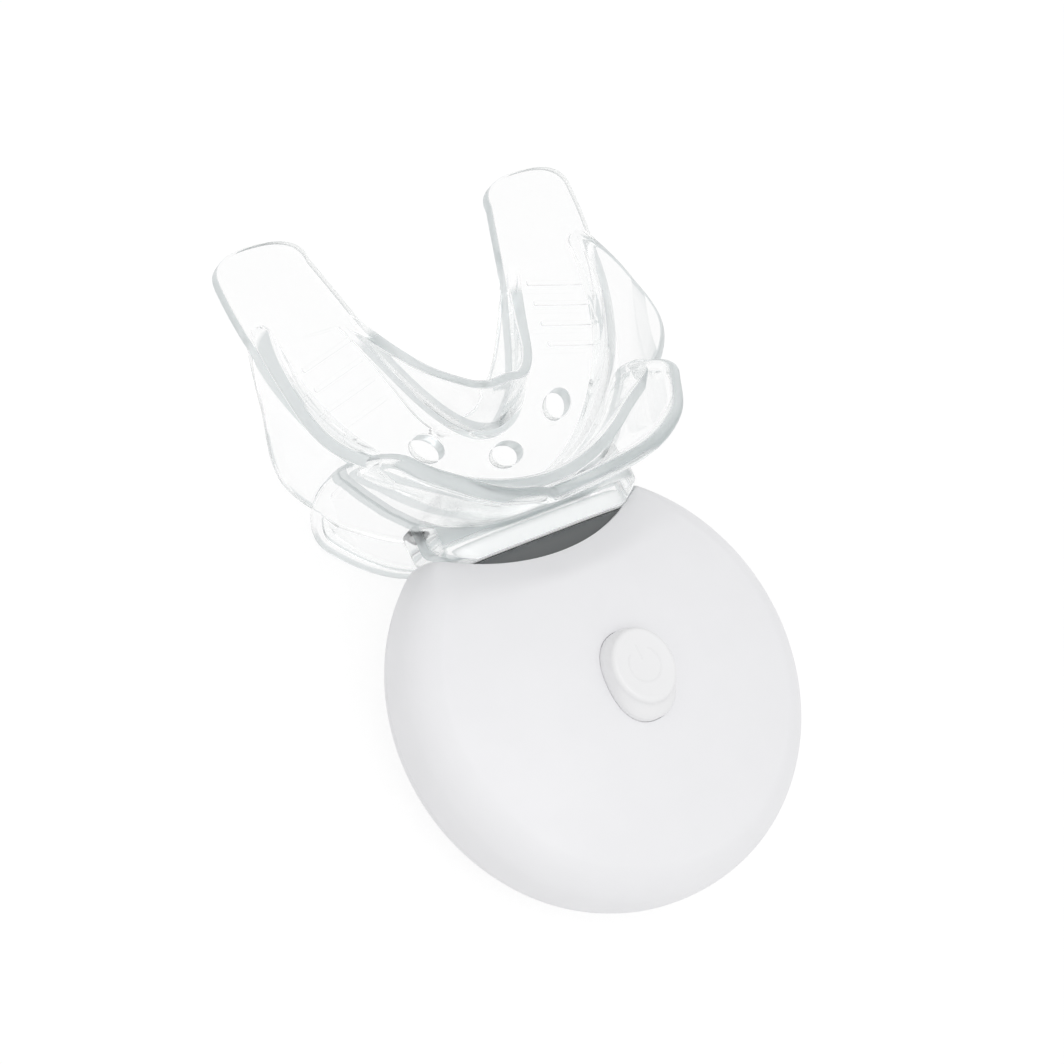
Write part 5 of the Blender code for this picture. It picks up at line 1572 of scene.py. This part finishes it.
class MOUTHTRAY_OT_nose(bpy.types.Operator):
    """Model the nose that the tray plugs over, its collar dark grey as painted shade"""
    bl_idname = "mouthtray.nose"
    bl_label = "Nose Window"

    def execute(self, context):
        case = context.scene.mouthtray_case
        # Polycarbonate, moulded in a polished tool, with soft but clear reflections; its dark grey is
        # painted shade for the gap between the socket and the cut's rim
        shade_grey = moulded("shade_grey_polycarbonate", case.shade_collar_colour, 1.58, 1.2, 0.002, (0.1, 0.15))
        finish_piece(make_collar(), shade_grey, "case", "smoked_window", "light_window")
        # Opal polycarbonate, moulded: milky white with a dull sheen
        opal = moulded("opal_polycarbonate", case.lens_colour, 1.58, 0.6, 0.002, (0.3, 0.38))
        finish_piece(make_lens(), opal, "case", "smoked_window")
        return {"FINISHED"}


class MOUTHTRAY_OT_button(bpy.types.Operator):
    """Model the push button and its power sign"""
    bl_idname = "mouthtray.button"
    bl_label = "Push Button"

    def execute(self, context):
        case, button = context.scene.mouthtray_case, context.scene.mouthtray_button
        cap = satin_abs("button_abs", button.colour, (0.3, 0.38))
        finish_piece(make_button(case, button), cap, "button", "button_white", "button_cap")
        # The same ABS a little rougher, so that the sign shows by its duller shine, and a touch darker as
        # painted shade, as if it lay in a groove
        sign = satin_abs("shaded_sign_abs", button.sign_shade_colour, (0.4, 0.46))
        finish_piece(make_power_sign(case, button), sign, "button", "button_white")
        return {"FINISHED"}


class MOUTHTRAY_OT_battery(bpy.types.Operator):
    """Model the battery door, its seal, the coin cells and their contacts"""
    bl_idname = "mouthtray.battery"
    bl_label = "Battery Bay"

    def execute(self, context):
        battery, look = context.scene.mouthtray_battery, context.scene.mouthtray_parts
        door = satin_abs("door_abs", context.scene.mouthtray_case.shell_colour, (0.36, 0.44))
        finish_piece(make_door(battery), door, "battery_door", "white_shell", "battery_door")
        # Moulded nitrile rubber: black and dull
        rubber = moulded("nitrile_rubber", look.rubber, 1.52, 0.3, 0.006, (0.55, 0.7))
        finish_piece(make_seal(battery), rubber, "battery_door", "seal_rubber", "door_seal")
        # Nickel-plated steel, deep drawn: bright, with a fine grain, round a dull black nylon gasket
        steel = metal("cell_steel", look.steel, 0.2, (0.2, 0.3))
        nylon = moulded("gasket_nylon", look.component, 1.53, 0.2, 0.003, (0.4, 0.5))
        can, gasket = make_cell(battery)
        gap = battery.cell_height + FIT_GAP
        for index in range(CELLS):
            base, number = (0, 0, SEAT_HEIGHT + index * gap), index + 1
            finish_piece(copy_of(can, f"coin_can_{number}", base), steel, "case", "bright_steel",
                         f"coin_cell_{number}")
            finish_piece(copy_of(gasket, f"coin_gasket_{number}", base), nylon, "case", "seal_rubber")
        bpy.data.objects.remove(can)
        bpy.data.objects.remove(gasket)
        # Rolled phosphor bronze: warm and bright, with the fine grain of its rolling
        bronze = metal("phosphor_bronze", look.bronze, 0.15, (0.22, 0.34))
        low = SEAT_HEIGHT + CELLS * gap
        top = low + CONTACT_LEAF
        side = battery.cell_radius + FIT_GAP
        long, wide = CONTACT_HALF
        leaf = make_contact("leaf_negative", (-long, -wide, low), (long, wide, top), (0, 0, low),
                            (1, 1, DIMPLE_FLATNESS))
        finish_piece(leaf, bronze, "case", "contact_brass", "contact_negative")
        leaf = make_contact("leaf_positive", (-wide, side, SEAT_HEIGHT), (wide, side + CONTACT_LEAF, top),
                            (0, side, DIMPLE_HEIGHT), (1, DIMPLE_FLATNESS, 1))
        finish_piece(leaf, bronze, "case", "contact_brass", "contact_positive")
        return {"FINISHED"}


class MOUTHTRAY_OT_screws(bpy.types.Operator):
    """Model the four screws that hold the shells together"""
    bl_idname = "mouthtray.screws"
    bl_label = "Case Screws"

    def execute(self, context):
        # Zinc-plated steel: grey and bright, with a slightly dull grain
        zinc = metal("zinc_steel", context.scene.mouthtray_parts.steel, 0.12, (0.26, 0.38))
        screw = make_screw()
        for number, (angle, centre) in enumerate(zip(SCREW_ANGLES, screw_centres()), 1):
            finish_piece(copy_of(screw, f"screw_{number}", (*centre, 0), angle), zinc, "case",
                         "bright_steel", f"case_screw_{number}")
        bpy.data.objects.remove(screw)
        return {"FINISHED"}


class MOUTHTRAY_OT_electronics(bpy.types.Operator):
    """Give the boards, the LEDs, the switch and the small parts their finishes"""
    bl_idname = "mouthtray.electronics"
    bl_label = "Electronics"

    def execute(self, context):
        look = context.scene.mouthtray_parts
        dress(solder_mask(tuple(look.board)), "main_board", "led_board")
        # Yellow phosphor in cast silicone, slightly cloudy
        dress(moulded("phosphor_resin", look.resin, 1.45, 0.2, 0.004, (0.25, 0.4)),
              *(f"led_{number}" for number in range(1, LEDS + 1)))
        # Moulded white polyester: dense, even and slightly dull
        dress(moulded("reflector_pbt", look.reflector, 1.6, 0.2, 0.003, (0.35, 0.45)), "led_reflector")
        # Glass-filled nylon of the header and switch, and the epoxy of the chip, with a fine dry grain
        dress(moulded("moulded_nylon", look.component, 1.53, 0.15, 0.006, (0.45, 0.6)),
              "led_header", "switch_body", "control_chip", "resistor_1", "resistor_2")
        # Drawn aluminium of the capacitor's can: silvery, with a soft grain
        dress(metal("drawn_aluminium", look.steel, 0.1, (0.3, 0.4)), "capacitor")
        # Stamped spring steel: smooth and almost a mirror
        dress(metal("spring_steel", look.steel, 0.08, (0.15, 0.24)), "snap_dome")
        # Moulded acetal: ivory and waxy
        dress(moulded("acetal", look.plunger, 1.48, 0.2, 0.003, (0.32, 0.42)), "switch_plunger")
        return {"FINISHED"}


class MOUTHTRAY_OT_stage(bpy.types.Operator):
    """Set up the floor, the soft light and the camera"""
    bl_idname = "mouthtray.stage"
    bl_label = "Stage"

    def execute(self, context):
        look = context.scene.mouthtray_stage
        make_floor(look)
        make_light(look)
        make_camera()
        return {"FINISHED"}


# Panel and registration

class MOUTHTRAY_PT_panel(bpy.types.Panel):
    """List the operators in the sidebar"""
    bl_label = "Mouth Tray Light"
    bl_idname = "MOUTHTRAY_PT_panel"
    bl_space_type = "VIEW_3D"
    bl_region_type = "UI"
    bl_category = "Mouth Tray"

    def draw(self, context):
        for operator in OPERATORS:
            self.layout.operator(operator.bl_idname)


GROUPS = {"mouthtray_tray": TraySizes, "mouthtray_case": CaseSizes, "mouthtray_button": ButtonSizes,
          "mouthtray_battery": BatterySizes, "mouthtray_parts": PartColours, "mouthtray_stage": StageLook}
OPERATORS = (MOUTHTRAY_OT_clear_tray, MOUTHTRAY_OT_case, MOUTHTRAY_OT_nose, MOUTHTRAY_OT_button,
             MOUTHTRAY_OT_battery, MOUTHTRAY_OT_screws, MOUTHTRAY_OT_electronics, MOUTHTRAY_OT_stage)


def register():
    for name, group in GROUPS.items():
        bpy.utils.register_class(group)
        setattr(bpy.types.Scene, name, bpy.props.PointerProperty(type=group))
    for kind in (*OPERATORS, MOUTHTRAY_PT_panel):
        bpy.utils.register_class(kind)


def unregister():
    for kind in (MOUTHTRAY_PT_panel, *reversed(OPERATORS)):
        bpy.utils.unregister_class(kind)
    for name, group in reversed(GROUPS.items()):
        delattr(bpy.types.Scene, name)
        bpy.utils.unregister_class(group)


def main():
    register()
    bpy.ops.mouthtray.clear_tray()
    bpy.ops.mouthtray.case()
    bpy.ops.mouthtray.nose()
    bpy.ops.mouthtray.button()
    bpy.ops.mouthtray.battery()
    bpy.ops.mouthtray.screws()
    bpy.ops.mouthtray.electronics()
    bpy.ops.mouthtray.stage()


if __name__ == "__main__":
    main()
